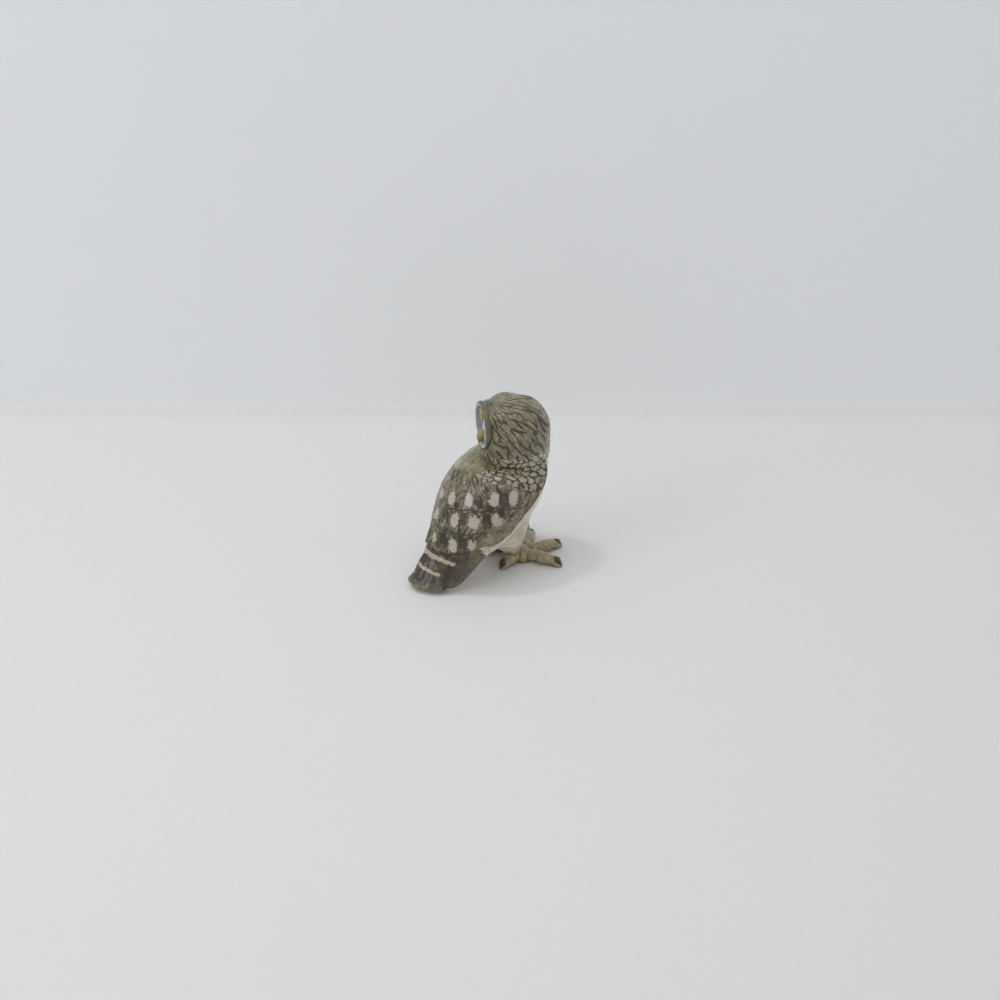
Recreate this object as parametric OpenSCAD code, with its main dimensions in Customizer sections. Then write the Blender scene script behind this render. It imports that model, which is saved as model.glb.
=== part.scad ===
// Owl figurine of glazed clay: a perched owl that looks back over its left shoulder.
// It stands on two four-toed feet and the end of its tail. The owl faces -Y, its left is +X,
// +Z is up, and the origin is the middle of the figure's box, on the ground.

/* [Head] */
// Diameter of the head
head_d = 14.6; // [11:0.1:18]
// Height of the head above the neck seam
head_h = 12.8; // [9:0.1:18]
// How far the head is turned over the left shoulder from straight ahead, in degrees
head_turn = 148.5; // [0:0.5:160]
// Diameter of the seam between head and body
neck_d = 14.4; // [11:0.1:17]
// Diameter of the facial disc
face_d = 10; // [8:0.1:13]
// Thickness of the facial disc at its rim
face_t = 1.2; // [1:0.1:2.5]
// Height of the disc's lower edge above the neck seam
chin_h = 2.2; // [0.4:0.1:3]
// Diameter of an eye
eye_d = 2.6; // [1.5:0.1:3.4]
// Length of the beak in front of the disc's floor
beak_len = 2.2; // [1.5:0.1:3.5]
// Width of the beak
beak_w = 1.9; // [1.2:0.1:2.6]

/* [Body and tail] */
// Height of the neck seam above the ground
neck_h = 25; // [18:0.5:34]
// Distance of the neck's middle behind the ankles
neck_back = 2.4; // [0:0.1:5]
// Width of the body at the shoulders
body_w = 20.4; // [15:0.1:27]
// Depth of the body from chest to back
body_d = 17.6; // [13:0.1:23]
// Distance of the tail's end behind the ankles
tail_reach = 25; // [19:0.1:32]
// Width of the tail
tail_w = 10.9; // [8:0.1:14]
// Thickness of the tail's end
tail_t = 2.5; // [1.6:0.1:4]
// How far the tail's end leans to the owl's left
tail_lean = 2.2; // [-3:0.1:3]
// Turn of the tail's end about the vertical, in degrees
tail_turn = 30; // [0:1:35]

/* [Wings] */
// Thickness of a folded wing on the body
wing_t = 0.9; // [0.5:0.05:1.6]

/* [Legs and feet] */
// Distance between the two ankles
stance_w = 5.8; // [5:0.1:9]
// Distance of the ankles behind the figure's own starting point
ankle_back = 3; // [2:0.1:4]
// Diameter of a leg at the ankle
leg_d = 4.6; // [3.6:0.1:5.6]
// Height of the ankle above the ground
ankle_h = 2.9; // [2.6:0.1:4]
// Diameter of the pad under the ankle
pad_d = 4.8; // [4.4:0.1:5.6]
// Thickness of a toe
toe_d = 2.5; // [1.6:0.1:2.6]
// Length of an outer toe from the ankle's middle
outer_toe = 9; // [6:0.1:12]
// Length of a middle toe from the ankle's middle
middle_toe = 9.5; // [6:0.1:12]
// Length of an inner toe from the ankle's middle
inner_toe = 9.2; // [6:0.1:12]
// Length of a hind toe from the ankle's middle
hind_toe = 6.4; // [6:0.1:10]

/* [Hidden] */

// ---- lists and curves ----

function mix(a, b, t) = a + (b - a) * t;

// Smooth curve through the rows of a table, at t from 0 to 1
function row_at(table, t) =
    let (last = len(table) - 1, x = min(max(t, 0), 1) * last, i = min(floor(x), last - 1), f = x - i)
    let (b = table[i], c = table[i + 1])
    let (a = i == 0 ? 2 * b - c : table[i - 1], d = i == last - 1 ? 2 * c - b : table[i + 2])
    0.5 * (2 * b + (c - a) * f + (2 * a - 5 * b + 4 * c - d) * f * f + (3 * b - a - 3 * c + d) * f * f * f);

// ---- body: sections strung along a spine ----

half_w = body_w / 2;
half_d = body_d / 2;
half_tail = tail_w / 2;

function spine_y(share) = mix(neck_back, tail_reach, share);

// Sideways, backwards and upwards place, tilt of the section, its turn about the vertical,
// half width, depth towards the back, depth towards the belly
SPINE = [
    [0, neck_back, neck_h, 0, 0, neck_d / 2, neck_d / 2, neck_d / 2],
    [0.1, spine_y(0.07), neck_h * 0.89, 18, 0, half_w * 0.85, half_d * 0.93, half_d * 0.85],
    [0.4, spine_y(0.19), neck_h * 0.74, 30, 0, half_w * 0.96, half_d * 1.01, half_d * 0.9],
    [0.8, spine_y(0.33), neck_h * 0.59, 38, 0, half_w * 0.96, half_d * 0.96, half_d * 0.76],
    [1, spine_y(0.48), neck_h * 0.455, 43, 0, half_w * 0.86, half_d * 0.82, half_d * 0.5],
    [tail_lean * 0.55, spine_y(0.635), neck_h * 0.33, 46, tail_turn * 0.15,
        mix(half_w, half_tail, 0.66), half_d * 0.61, half_d * 0.26],
    [tail_lean * 0.62, spine_y(0.775), neck_h * 0.215, 47, tail_turn * 0.45,
        half_tail * 1.13, tail_t * 1.4, tail_t * 0.95],
    [tail_lean * 0.8, spine_y(0.9), neck_h * 0.1, 45, tail_turn * 0.75,
        half_tail * 1.03, tail_t * 0.95, tail_t * 0.75],
    [tail_lean, tail_reach, neck_h * 0.02, 42, tail_turn, half_tail, tail_t * 0.62, tail_t * 0.9]
];
BODY_ROWS = 20;   // rows of facets from the neck to the tail's seam
TAIL_ROWS = 8;    // rows of facets along the tail
HALF_COLS = 16;   // columns of facets from the back's middle to the belly's middle
WING_COLS = 10;   // the part of them that a wing covers
TAIL_SEAM = 0.625;  // place of the tail's seam along the spine, from 0 to 1

// Angle from the back's middle to a wing's lower edge, along the spine
WING_EDGE = [[112], [112], [106], [98], [88], [74], [66], [60], [56]];

function row_s(i) = i <= BODY_ROWS ? TAIL_SEAM * i / BODY_ROWS
    : mix(TAIL_SEAM, 1, (i - BODY_ROWS) / TAIL_ROWS);

// Angle of a column: 0 on the back's middle, -180 and 180 on the belly's middle
function col_phi(s, j) =
    let (edge = row_at(WING_EDGE, s)[0], k = abs(j - HALF_COLS))
    sign(j - HALF_COLS) * (k <= WING_COLS ? edge * k / WING_COLS
        : mix(edge, 180, (k - WING_COLS) / (HALF_COLS - WING_COLS)));

// Point of the body's surface, or of a skin that stands lift above it
function body_point(s, phi, lift = 0) =
    let (r = row_at(SPINE, s))
    let (side = [cos(r[4]), sin(r[4]), 0])
    let (back = [-sin(r[4]) * cos(r[3]), cos(r[4]) * cos(r[3]), sin(r[3])])
    let (depth = (cos(phi) > 0 ? r[6] : r[7]) + lift)
    let (p = [r[0], r[1], r[2]] + (r[5] + lift) * sin(phi) * side + depth * cos(phi) * back)
    [p.x, p.y, max(p.z, 0)];

function body_row(i) = let (s = row_s(i)) [for (j = [0:2 * HALF_COLS - 1]) body_point(s, col_phi(s, j))];

// ---- solids from rings of points ----

// Two triangles across the shorter diagonal of a four-sided facet
function facet(p, a, b, c, d) =
    norm(p[a] - p[d]) <= norm(p[b] - p[c]) ? [[a, d, b], [a, c, d]] : [[a, c, b], [b, c, d]];

// Closed skin over rings of equal length, with a flat cap at each end. A folded ring goes out
// along one side and comes back along the other, and its cap is a strip between the two sides.
module skin(rings, folded = false) {
    n = len(rings[0]);
    m = len(rings);
    points = [for (r = rings) each r];
    polyhedron(points, concat(
        folded ? strip_cap(n) : [[for (j = [0:n - 1]) j]],
        [for (i = [0:m - 2], j = [0:n - 1]) let (k = (j + 1) % n)
            each facet(points, i * n + j, i * n + k, i * n + n + j, i * n + n + k)],
        folded ? [for (f = strip_cap(n)) [for (j = [2:-1:0]) (m - 1) * n + f[j]]]
            : [[for (j = [n - 1:-1:0]) (m - 1) * n + j]]
    ), convexity = 6);
}

function strip_cap(n) = [for (k = [0:n / 2 - 2]) each [[k, k + 1, n - 1 - k], [k + 1, n - 2 - k, n - 1 - k]]];

// ---- body and tail ----

module body() {
    color("whitesmoke") centred() skin([for (i = [0:BODY_ROWS]) body_row(i)]);
}

module tail() {
    color("dimgray") centred() skin([for (i = [BODY_ROWS:BODY_ROWS + TAIL_ROWS]) body_row(i)]);
}

// ---- wings: folded on the body, from the back's middle to the wing's lower edge ----

WING_FROM = 1;    // row of the body where a wing begins
// Thickness across a wing, from the back's middle to its lower edge, and along it
WING_ACROSS = [[0.55], [0.75], [0.9], [1], [1], [0.6]];
WING_ALONG = [[0.25], [0.8], [1], [1], [0.9], [0.65]];

function wing_lift(i, k) = wing_t * row_at(WING_ACROSS, k / WING_COLS)[0]
    * row_at(WING_ALONG, (i - WING_FROM) / (BODY_ROWS - WING_FROM))[0];

// Ring of one wing at a row: out along the skin and back along the body (way is -1 right, 1 left)
function wing_row(i, way) =
    let (s = row_s(i), ks = way > 0 ? [0:WING_COLS] : [WING_COLS:-1:0])
    let (back = way > 0 ? [WING_COLS:-1:0] : [0:WING_COLS])
    concat(
        [for (k = ks) body_point(s, col_phi(s, HALF_COLS + way * k), wing_lift(i, k))],
        [for (k = back) body_point(s, col_phi(s, HALF_COLS + way * k))]
    );

module wing(way) {
    color("darkkhaki") centred() skin([for (i = [WING_FROM:BODY_ROWS]) wing_row(i, way)], folded = true);
}

// ---- head ----

head_r = head_d / 2;
neck_r = neck_d / 2;
HEAD_ROWS = 16;
HEAD_COLS = 36;
brow = 1.18;  // how much longer the head is in front of its axis than behind it
// Height as a share of head_h, half width as a share of the head's radius, share of the brow
HEAD_FORM = [[0, neck_r / head_r, 0], [0.16, 1, 0.3], [0.36, 1.01, 0.8], [0.56, 0.975, 1], [0.74, 0.85, 1],
    [0.88, 0.64, 1], [0.97, 0.36, 1], [1, 0.03, 1]];
face_seat = head_r * 0.82;      // distance of the disc's seat in front of the head's axis
face_z = neck_h + chin_h + face_d / 2;  // height of the disc's middle
face_floor = face_t * 0.45;     // thickness of the disc inside its rim
beak_drop = face_d * 0.23;       // distance of the beak below the disc's middle

// The head is modelled facing +Y at the neck's middle and then turned
module face_frame() {
    centred() translate([0, neck_back, 0]) rotate([0, 0, 180 + head_turn]) children();
}

// The flat seat reaches as high and as low as the disc, and the head rounds out beyond it
function seat_at(z) = face_seat + 2.5 * max(0, abs(z - face_z) - face_d / 2);

function head_ring(t) =
    let (r = row_at(HEAD_FORM, t))
    let (z = neck_h + head_h * r[0], stretch = mix(1, brow, r[2]))
    [for (j = [0:HEAD_COLS - 1]) let (a = 360 * j / HEAD_COLS)
        let (front = head_r * r[1] * cos(a) * (cos(a) > 0 ? stretch : 1))
        [head_r * r[1] * sin(a), min(front, seat_at(z)), z]];

module head() {
    color("tan") face_frame() skin([for (i = [HEAD_ROWS:-1:0]) head_ring(i / HEAD_ROWS)]);
}

module on_face() {
    face_frame() translate([0, face_seat, face_z]) rotate([-90, 0, 0]) children();
}

module facial_disc() {
    lip = face_t - face_floor;
    rim = face_d / 2 - lip;
    color("lightslategray") on_face() rotate_extrude($fn = 48) polygon(concat(
        [[0, 0], [rim + lip * 0.7, 0]],
        [for (a = [-20:20:180]) [rim + lip * cos(a), face_floor + lip * max(sin(a), -0.3)]],
        [[0, face_floor]]));
}

module beak() {
    rise = beak_w * 1.2;
    color("goldenrod") on_face() translate([0, beak_drop, face_floor]) polyhedron(
        [[-beak_w / 2, 0, 0], [0, -rise, 0], [beak_w / 2, 0, 0], [beak_w * 0.3, rise * 0.8, 0],
         [-beak_w * 0.3, rise * 0.8, 0], [0, rise * 0.7, beak_len], [0, -rise * 0.2, beak_len * 0.85]],
        [[0, 1, 2, 3, 4], [1, 0, 6], [2, 1, 6], [0, 4, 5], [0, 5, 6], [3, 2, 5], [2, 6, 5], [4, 3, 5]]);
}

module eye(way) {
    color("gold") on_face() translate([way * face_d * 0.22, -face_d * 0.13, face_floor])
        intersection() {
            sphere(eye_d / 2, $fn = 40);
            translate([-eye_d, -eye_d, 0]) cube([2 * eye_d, 2 * eye_d, eye_d]);
        }
}

// ---- legs: each grows out of a patch of the belly and ends on its foot's pad ----

LEG_FROM = 10;    // first row of the patch
LEG_TO = 16;      // last row of the patch
LEG_COLS = 4;     // columns of the patch
LEG_GAP = 1;      // columns between the patch and the belly's middle
LEG_STEPS = 8;

function ankle(way) = [way * stance_w / 2, ankle_back, ankle_h];

function leg_patch(way) = [for (i = [LEG_FROM:LEG_TO]) let (s = row_s(i))
    [for (k = [0:LEG_COLS])
        body_point(s, col_phi(s, k + (way < 0 ? LEG_GAP : 2 * HALF_COLS - LEG_GAP - LEG_COLS)))]];

// Places in a patch, read row by row, of the points on its border
function border(rows, cols) = concat(
    [for (c = [0:cols - 1]) c],
    [for (r = [1:rows - 1]) r * cols + cols - 1],
    [for (c = [cols - 2:-1:0]) (rows - 1) * cols + c],
    [for (r = [rows - 2:-1:1]) r * cols]
);

module leg(way) {
    rows = LEG_TO - LEG_FROM + 1;
    cols = LEG_COLS + 1;
    patch = [for (r = leg_patch(way)) each r];
    edge = border(rows, cols);
    n = len(edge);
    foot = ankle(way);
    middle = [for (axis = [0:2]) [for (e = edge) patch[e][axis]] * [for (e = edge) 1 / n]];
    rings = [for (k = [1:LEG_STEPS]) let (f = k / LEG_STEPS, narrow = pow(f, 1.15))
        [for (e = edge) let (q = patch[e], a = atan2(q.y - middle.y, q.x - middle.x))
            [mix(q.x, foot.x + leg_d / 2 * cos(a), narrow), mix(q.y, foot.y + leg_d / 2 * sin(a), narrow),
             mix(q.z, foot.z, f)]]];
    points = concat(patch, [for (r = rings) each r]);
    start = rows * cols;
    function place(k, j) = k == 0 ? edge[j % n] : start + (k - 1) * n + j % n;
    color("white") centred() polyhedron(points, concat(
        [for (r = [0:rows - 2], c = [0:cols - 2]) let (a = r * cols + c)
            each facet(points, a + 1, a, a + cols + 1, a + cols)],
        [for (k = [0:LEG_STEPS - 1], j = [0:n - 1])
            each facet(points, place(k, j), place(k, j + 1), place(k + 1, j), place(k + 1, j + 1))],
        [[for (j = [n - 1:-1:0]) place(LEG_STEPS, j)]]
    ), convexity = 6);
}

// ---- feet: a round pad under each ankle, with four toes around it ----

TOE_SIDES = 14;
TOE_ROWS = 9;
toe_spread = 51;    // angle between neighbouring front toes
right_turn = 16.5;  // direction of the right middle toe, outwards from straight ahead
left_turn = 60;     // the same for the left foot
left_hind_turn = 18; // how far the left hind toe points outwards from straight back
toe_root = 0.8;     // how far a toe's blank reaches into the pad before it is cut
toe_gap = 0.05;     // room between two toes at the pad
root_r = pad_d / 2 * sin(toe_spread / 2) - toe_gap;
// Share of the length, height of the middle, radius
TOE_FORM = [
    [0, root_r * 0.96, root_r], [0.18, mix(root_r, toe_d * 0.5, 0.35), mix(root_r, toe_d * 0.53, 0.35)],
    [0.4, toe_d * 0.5, toe_d * 0.53], [0.62, toe_d * 0.46, toe_d * 0.49], [0.8, toe_d * 0.38, toe_d * 0.42],
    [0.92, toe_d * 0.24, toe_d * 0.3], [1, toe_d * 0.08, toe_d * 0.1]
];

// Every toe: side (-1 right, 1 left), heading from straight ahead to the owl's left, length
TOES = [
    [-1, -right_turn - toe_spread, outer_toe], [-1, -right_turn, middle_toe],
    [-1, -right_turn + toe_spread * 0.94, inner_toe], [-1, 180, hind_toe],
    [1, left_turn + toe_spread, outer_toe], [1, left_turn, middle_toe],
    [1, left_turn - toe_spread, inner_toe], [1, 180 - left_hind_turn, hind_toe]
];

function toe_rings(k) =
    let (way = TOES[k][0], turn = TOES[k][1], length = TOES[k][2], foot = ankle(way))
    [for (i = [TOE_ROWS:-1:0])
        let (r = row_at(TOE_FORM, i / TOE_ROWS), y = -mix(pad_d / 2 - toe_root, length, r[0]))
        [for (j = [0:TOE_SIDES - 1]) let (a = 360 * j / TOE_SIDES, x = r[2] * sin(a))
            [foot.x + x * cos(turn) - y * sin(turn), foot.y + x * sin(turn) + y * cos(turn),
             max(0, r[1] + r[2] * cos(a))]]];

module pad_blank(rise = 0) {
    translate([0, 0, -rise]) cylinder(ankle_h + 2 * rise, d = pad_d, $fn = 48);
}

module foot(way) {
    color("wheat") centred() translate([way * stance_w / 2, ankle_back, 0]) pad_blank();
}

module toe(k) {
    color("tan") centred() difference() {
        skin(toe_rings(k));
        translate([TOES[k][0] * stance_w / 2, ankle_back, 0]) pad_blank(1);
    }
}

// ---- the figure's own origin: the middle of its box, on the ground ----

outline = concat(
    [for (i = [WING_FROM:BODY_ROWS], way = [-1, 1]) each wing_row(i, way)],
    [for (i = [0:BODY_ROWS + TAIL_ROWS]) each body_row(i)],
    [for (k = [0:len(TOES) - 1]) each [for (r = toe_rings(k)) each r]]
);
middle = [for (axis = [0:1]) let (c = [for (p = outline) p[axis]]) (min(c) + max(c)) / 2];

module centred() {
    translate([-middle.x, -middle.y, 0]) children();
}

body();
head();
facial_disc();
beak();
eye(-1);  // eye_right
eye(1);  // eye_left
wing(-1);  // wing_right
wing(1);  // wing_left
tail();
leg(-1);  // leg_right
leg(1);  // leg_left
foot(-1);  // foot_right
foot(1);  // foot_left
toe(0);  // toe_right_outer
toe(1);  // toe_right_middle
toe(2);  // toe_right_inner
toe(3);  // toe_right_hind
toe(4);  // toe_left_outer
toe(5);  // toe_left_middle
toe(6);  // toe_left_inner
toe(7);  // toe_left_hind
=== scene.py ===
"""Glazed clay owl that looks back over its left shoulder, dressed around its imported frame.

Every piece is a grid surface worked out with numpy in millimetres and put into a mesh in metres.
The owl faces -Y, its left is +X and +Z is up. Paint is carried by named mask attributes that
the glazes mix with procedural brush texture.
"""
import logging
from dataclasses import dataclass
from enum import Enum
from typing import Optional, Union

import bpy
import numpy as np
from mathutils import Matrix, Vector


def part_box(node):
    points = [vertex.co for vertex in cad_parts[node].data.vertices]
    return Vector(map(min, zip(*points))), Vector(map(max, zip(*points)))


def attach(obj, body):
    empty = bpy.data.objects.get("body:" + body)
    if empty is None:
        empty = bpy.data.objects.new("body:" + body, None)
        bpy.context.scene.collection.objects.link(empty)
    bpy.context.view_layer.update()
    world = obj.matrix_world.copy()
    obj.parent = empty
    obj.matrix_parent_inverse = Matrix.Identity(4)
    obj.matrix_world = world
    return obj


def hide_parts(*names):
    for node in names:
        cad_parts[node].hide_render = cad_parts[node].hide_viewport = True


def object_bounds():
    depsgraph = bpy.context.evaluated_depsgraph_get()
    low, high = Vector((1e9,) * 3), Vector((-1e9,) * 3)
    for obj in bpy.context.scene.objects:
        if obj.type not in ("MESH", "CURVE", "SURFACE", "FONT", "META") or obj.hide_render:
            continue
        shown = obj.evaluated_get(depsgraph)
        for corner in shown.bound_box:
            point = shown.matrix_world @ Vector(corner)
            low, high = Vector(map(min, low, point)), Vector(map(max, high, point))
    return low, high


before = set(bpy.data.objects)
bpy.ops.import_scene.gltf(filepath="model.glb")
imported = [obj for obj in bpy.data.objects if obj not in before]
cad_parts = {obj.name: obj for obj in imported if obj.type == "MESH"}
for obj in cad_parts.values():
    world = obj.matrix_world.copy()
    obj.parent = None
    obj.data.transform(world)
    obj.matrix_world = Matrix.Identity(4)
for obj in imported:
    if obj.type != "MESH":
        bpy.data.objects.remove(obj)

CAD_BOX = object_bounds()
MM = 0.001
Array = np.ndarray
Colour = tuple[float, float, float, float]
Masks = dict[str, Array]
DESIGN_HEIGHT = 37.8  # height of the owl in mm that all sizes here are given for
ANKLE_BACK = 3.0  # ankles behind the origin of the torso's own axes, in mm
log = logging.getLogger("owl")


# ---- curves, noise and meshes ----

def mix(a: Array, b: Array, t: Array) -> Array:
    """Straight blend from a at t = 0 to b at t = 1."""
    return a + (b - a) * t


def smooth(lo: float, hi: float, x: Array) -> Array:
    """Ramp 3t^2 - 2t^3, where t is x's share of the way from lo to hi."""
    t = np.clip((np.asarray(x, float) - lo) / (hi - lo), 0, 1)
    return t * t * (3 - 2 * t)


def bump(x: Array, middle: float, width: float) -> Array:
    """Bell exp(-((x - middle) / width)^2)."""
    return np.exp(-((x - middle) / width) ** 2)


def along(table: Array, t: Array) -> Array:
    """Smooth curve through the rows of a table (Catmull-Rom, with straight run-outs).

    Args:
        table: Rows of numbers, evenly spaced from t = 0 to t = 1.
        t: Places along the curve, of any shape.

    Returns:
        The row at each place, with the row's numbers on the last axis.
    """
    rows = np.asarray(table, float)
    if rows.ndim == 1:
        rows = rows[:, None]
    last = len(rows) - 1
    x = np.clip(t, 0, 1) * last
    i = np.minimum(np.floor(x).astype(int), last - 1)
    f = (x - i)[..., None]
    padded = np.vstack([2 * rows[0] - rows[1], rows, 2 * rows[-1] - rows[-2]])
    a, b, c, d = padded[i], padded[i + 1], padded[i + 2], padded[i + 3]
    square, cube = 2 * a - 5 * b + 4 * c - d, 3 * b - a - 3 * c + d
    return 0.5 * (2 * b + (c - a) * f + square * f ** 2 + cube * f ** 3)


def ring_grid(rows: int, cols: int, start: float = 0.0, end: float = 1.0) -> tuple[Array, Array]:
    """Grid of a piece made of rings.

    Args:
        rows: Number of rings.
        cols: Number of points in a ring.
        start: Place of the first ring.
        end: Place of the last ring.

    Returns:
        Each point's place along the piece and its angle round the ring in radians.
    """
    turn = np.linspace(0, 2 * np.pi, cols, endpoint=False)
    return tuple(np.meshgrid(np.linspace(start, end, rows), turn, indexing="ij"))


class Ripple:
    """Smooth noise of about -2 to 2: seeded cosine waves that run in all directions, added up."""

    def __init__(self, seed: int, size: float, count: int = 22) -> None:
        """Draws the waves.

        Args:
            seed: Seed of the draw.
            size: Mean length of a wave in millimetres.
            count: Number of waves.
        """
        rng = np.random.default_rng(seed)
        way = rng.normal(size=(3, count))
        way /= np.linalg.norm(way, axis=0)
        self.waves = way * 2 * np.pi / size * rng.uniform(0.6, 1.7, count)
        self.phase = rng.uniform(0, 2 * np.pi, count)
        self.gain = np.sqrt(2 / count)

    def __call__(self, p: Array) -> Array:
        """Height of the noise at points p."""
        return np.cos(p @ self.waves + self.phase).sum(-1) * self.gain


def cells(x: Array, y: Array, seed: int, jitter: float = 0.62) -> tuple[Array, Array]:
    """Rounded cells around jittered grid points one unit apart.

    Args:
        x: Places across, in cells.
        y: Places along, in cells.
        seed: Seed of the jitter.
        jitter: How far a point strays from its square's middle, in cells.

    Returns:
        How much farther the second nearest point is than the nearest, and the nearest point's
        own number from 0 to 1.
    """
    size = 128
    stray = np.random.default_rng(seed).uniform(-0.5, 0.5, (size, size, 3))
    ix, iy = np.floor(x).astype(int), np.floor(y).astype(int)
    best = np.full(x.shape, 9.0)
    second = best.copy()
    tone = np.zeros(x.shape)
    for dx in (-1, 0, 1):
        for dy in (-1, 0, 1):
            jx, jy = (ix + dx) % size, (iy + dy) % size
            px = ix + dx + 0.5 + jitter * stray[jx, jy, 0] + 0.25 * (jy % 2)
            d = np.hypot(x - px, y - (iy + dy + 0.5 + jitter * stray[jx, jy, 1]))
            near = d < best
            second = np.where(near, best, np.minimum(second, d))
            tone = np.where(near, stray[jx, jy, 2] + 0.5, tone)
            best = np.where(near, d, best)
    return second - best, tone


def make_mesh(name: str, grid: Array, masks: Masks, material: bpy.types.Material) -> bpy.types.Object:
    """Turns a grid of rings into a closed, smooth-shaded piece.

    The first and last rings are closed with a fan around their mean point.

    Args:
        name: Name of the piece.
        grid: Points in mm, rows x columns x 3; each row is a closed ring.
        masks: Number or triple of numbers for each point, by attribute name.
        material: Material of the whole piece.

    Returns:
        The new object, at the origin, linked to the scene.
    """
    rows, cols = grid.shape[:2]
    r, c = np.meshgrid(np.arange(rows - 1), np.arange(cols), indexing="ij")
    a, b = r * cols + c, r * cols + (c + 1) % cols
    quads = np.stack([a, b, b + cols, a + cols], -1).reshape(-1, 4)
    points = grid.reshape(-1, 3)
    values = {k: v.reshape(rows * cols, -1) for k, v in masks.items()}
    ring, turn = np.arange(cols), np.roll(np.arange(cols), -1)
    top = (rows - 1) * cols
    fans = np.vstack([np.stack([turn, ring, ring * 0 + rows * cols], -1),
                      np.stack([top + ring, top + turn, ring * 0 + rows * cols + 1], -1)])
    points = np.vstack([points, grid[0].mean(0), grid[-1].mean(0)])
    values = {k: np.vstack([v, v[:cols].mean(0), v[top:].mean(0)]) for k, v in values.items()}
    tri = np.vstack([quads[:, [0, 1, 2]], quads[:, [0, 2, 3]], fans])
    p, q, s = (points[tri[:, k]] for k in range(3))
    if np.einsum("ij,ij->i", p, np.cross(q, s)).sum() < 0:
        quads, fans = quads[:, ::-1], fans[:, ::-1]
    mesh = bpy.data.meshes.new(name)
    corners = np.concatenate([quads.ravel(), fans.ravel()])
    starts = np.concatenate([np.arange(len(quads)) * 4, 4 * len(quads) + np.arange(len(fans)) * 3])
    mesh.vertices.add(len(points))
    mesh.vertices.foreach_set("co", (points * MM).astype(np.float32).ravel())
    mesh.loops.add(len(corners))
    mesh.loops.foreach_set("vertex_index", corners.astype(np.int32))
    mesh.polygons.add(len(starts))
    mesh.polygons.foreach_set("loop_start", starts.astype(np.int32))
    mesh.update(calc_edges=True)
    mesh.validate()
    for key, v in values.items():
        wide = v.shape[1] == 3
        layer = mesh.attributes.new(key, "FLOAT_VECTOR" if wide else "FLOAT", "POINT")
        layer.data.foreach_set("vector" if wide else "value", v.astype(np.float32).ravel())
    mesh.polygons.foreach_set("use_smooth", np.ones(len(starts), bool))
    mesh.materials.append(material)
    piece = bpy.data.objects.new(name, mesh)
    bpy.context.collection.objects.link(piece)
    return piece


# ---- materials ----

def shade(red: float, green: float, blue: float) -> Colour:
    """Linear colour of an 0 to 255 screen colour."""
    def linear(v: float) -> float:
        """One channel by the screen curve."""
        v /= 255
        return v / 12.92 if v <= 0.04045 else ((v + 0.055) / 1.055) ** 2.4
    return linear(red), linear(green), linear(blue), 1.0


class Value:
    """A number that varies over a surface. Operators add Math nodes."""

    def __init__(self, tree: bpy.types.NodeTree, socket: bpy.types.NodeSocket) -> None:
        """Wraps a socket of a node tree."""
        self.tree, self.socket = tree, socket

    def math(self, operation: str, a: object, b: object, clamp: bool = False) -> "Value":
        """Adds a Math node.

        Args:
            operation: Name of the node's operation.
            a: First number or value.
            b: Second number or value.
            clamp: Whether to hold the result between 0 and 1.

        Returns:
            The node's result.
        """
        node = self.tree.nodes.new("ShaderNodeMath")
        node.operation, node.use_clamp = operation, clamp
        for socket, v in zip(node.inputs, (a, b)):
            if isinstance(v, Value):
                self.tree.links.new(v.socket, socket)
            else:
                socket.default_value = float(v)
        return Value(self.tree, node.outputs[0])

    def __add__(self, other: object) -> "Value":
        """Sum."""
        return self.math("ADD", self, other)

    def __sub__(self, other: object) -> "Value":
        """Difference."""
        return self.math("SUBTRACT", self, other)

    def __rsub__(self, other: object) -> "Value":
        """Difference from a number."""
        return self.math("SUBTRACT", other, self)

    def __mul__(self, other: object) -> "Value":
        """Product."""
        return self.math("MULTIPLY", self, other)

    __radd__, __rmul__ = __add__, __mul__

    def held(self) -> "Value":
        """The same value held between 0 and 1."""
        return self.math("ADD", self, 0.0, clamp=True)


Input = Union[Value, float, tuple, None]


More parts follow.
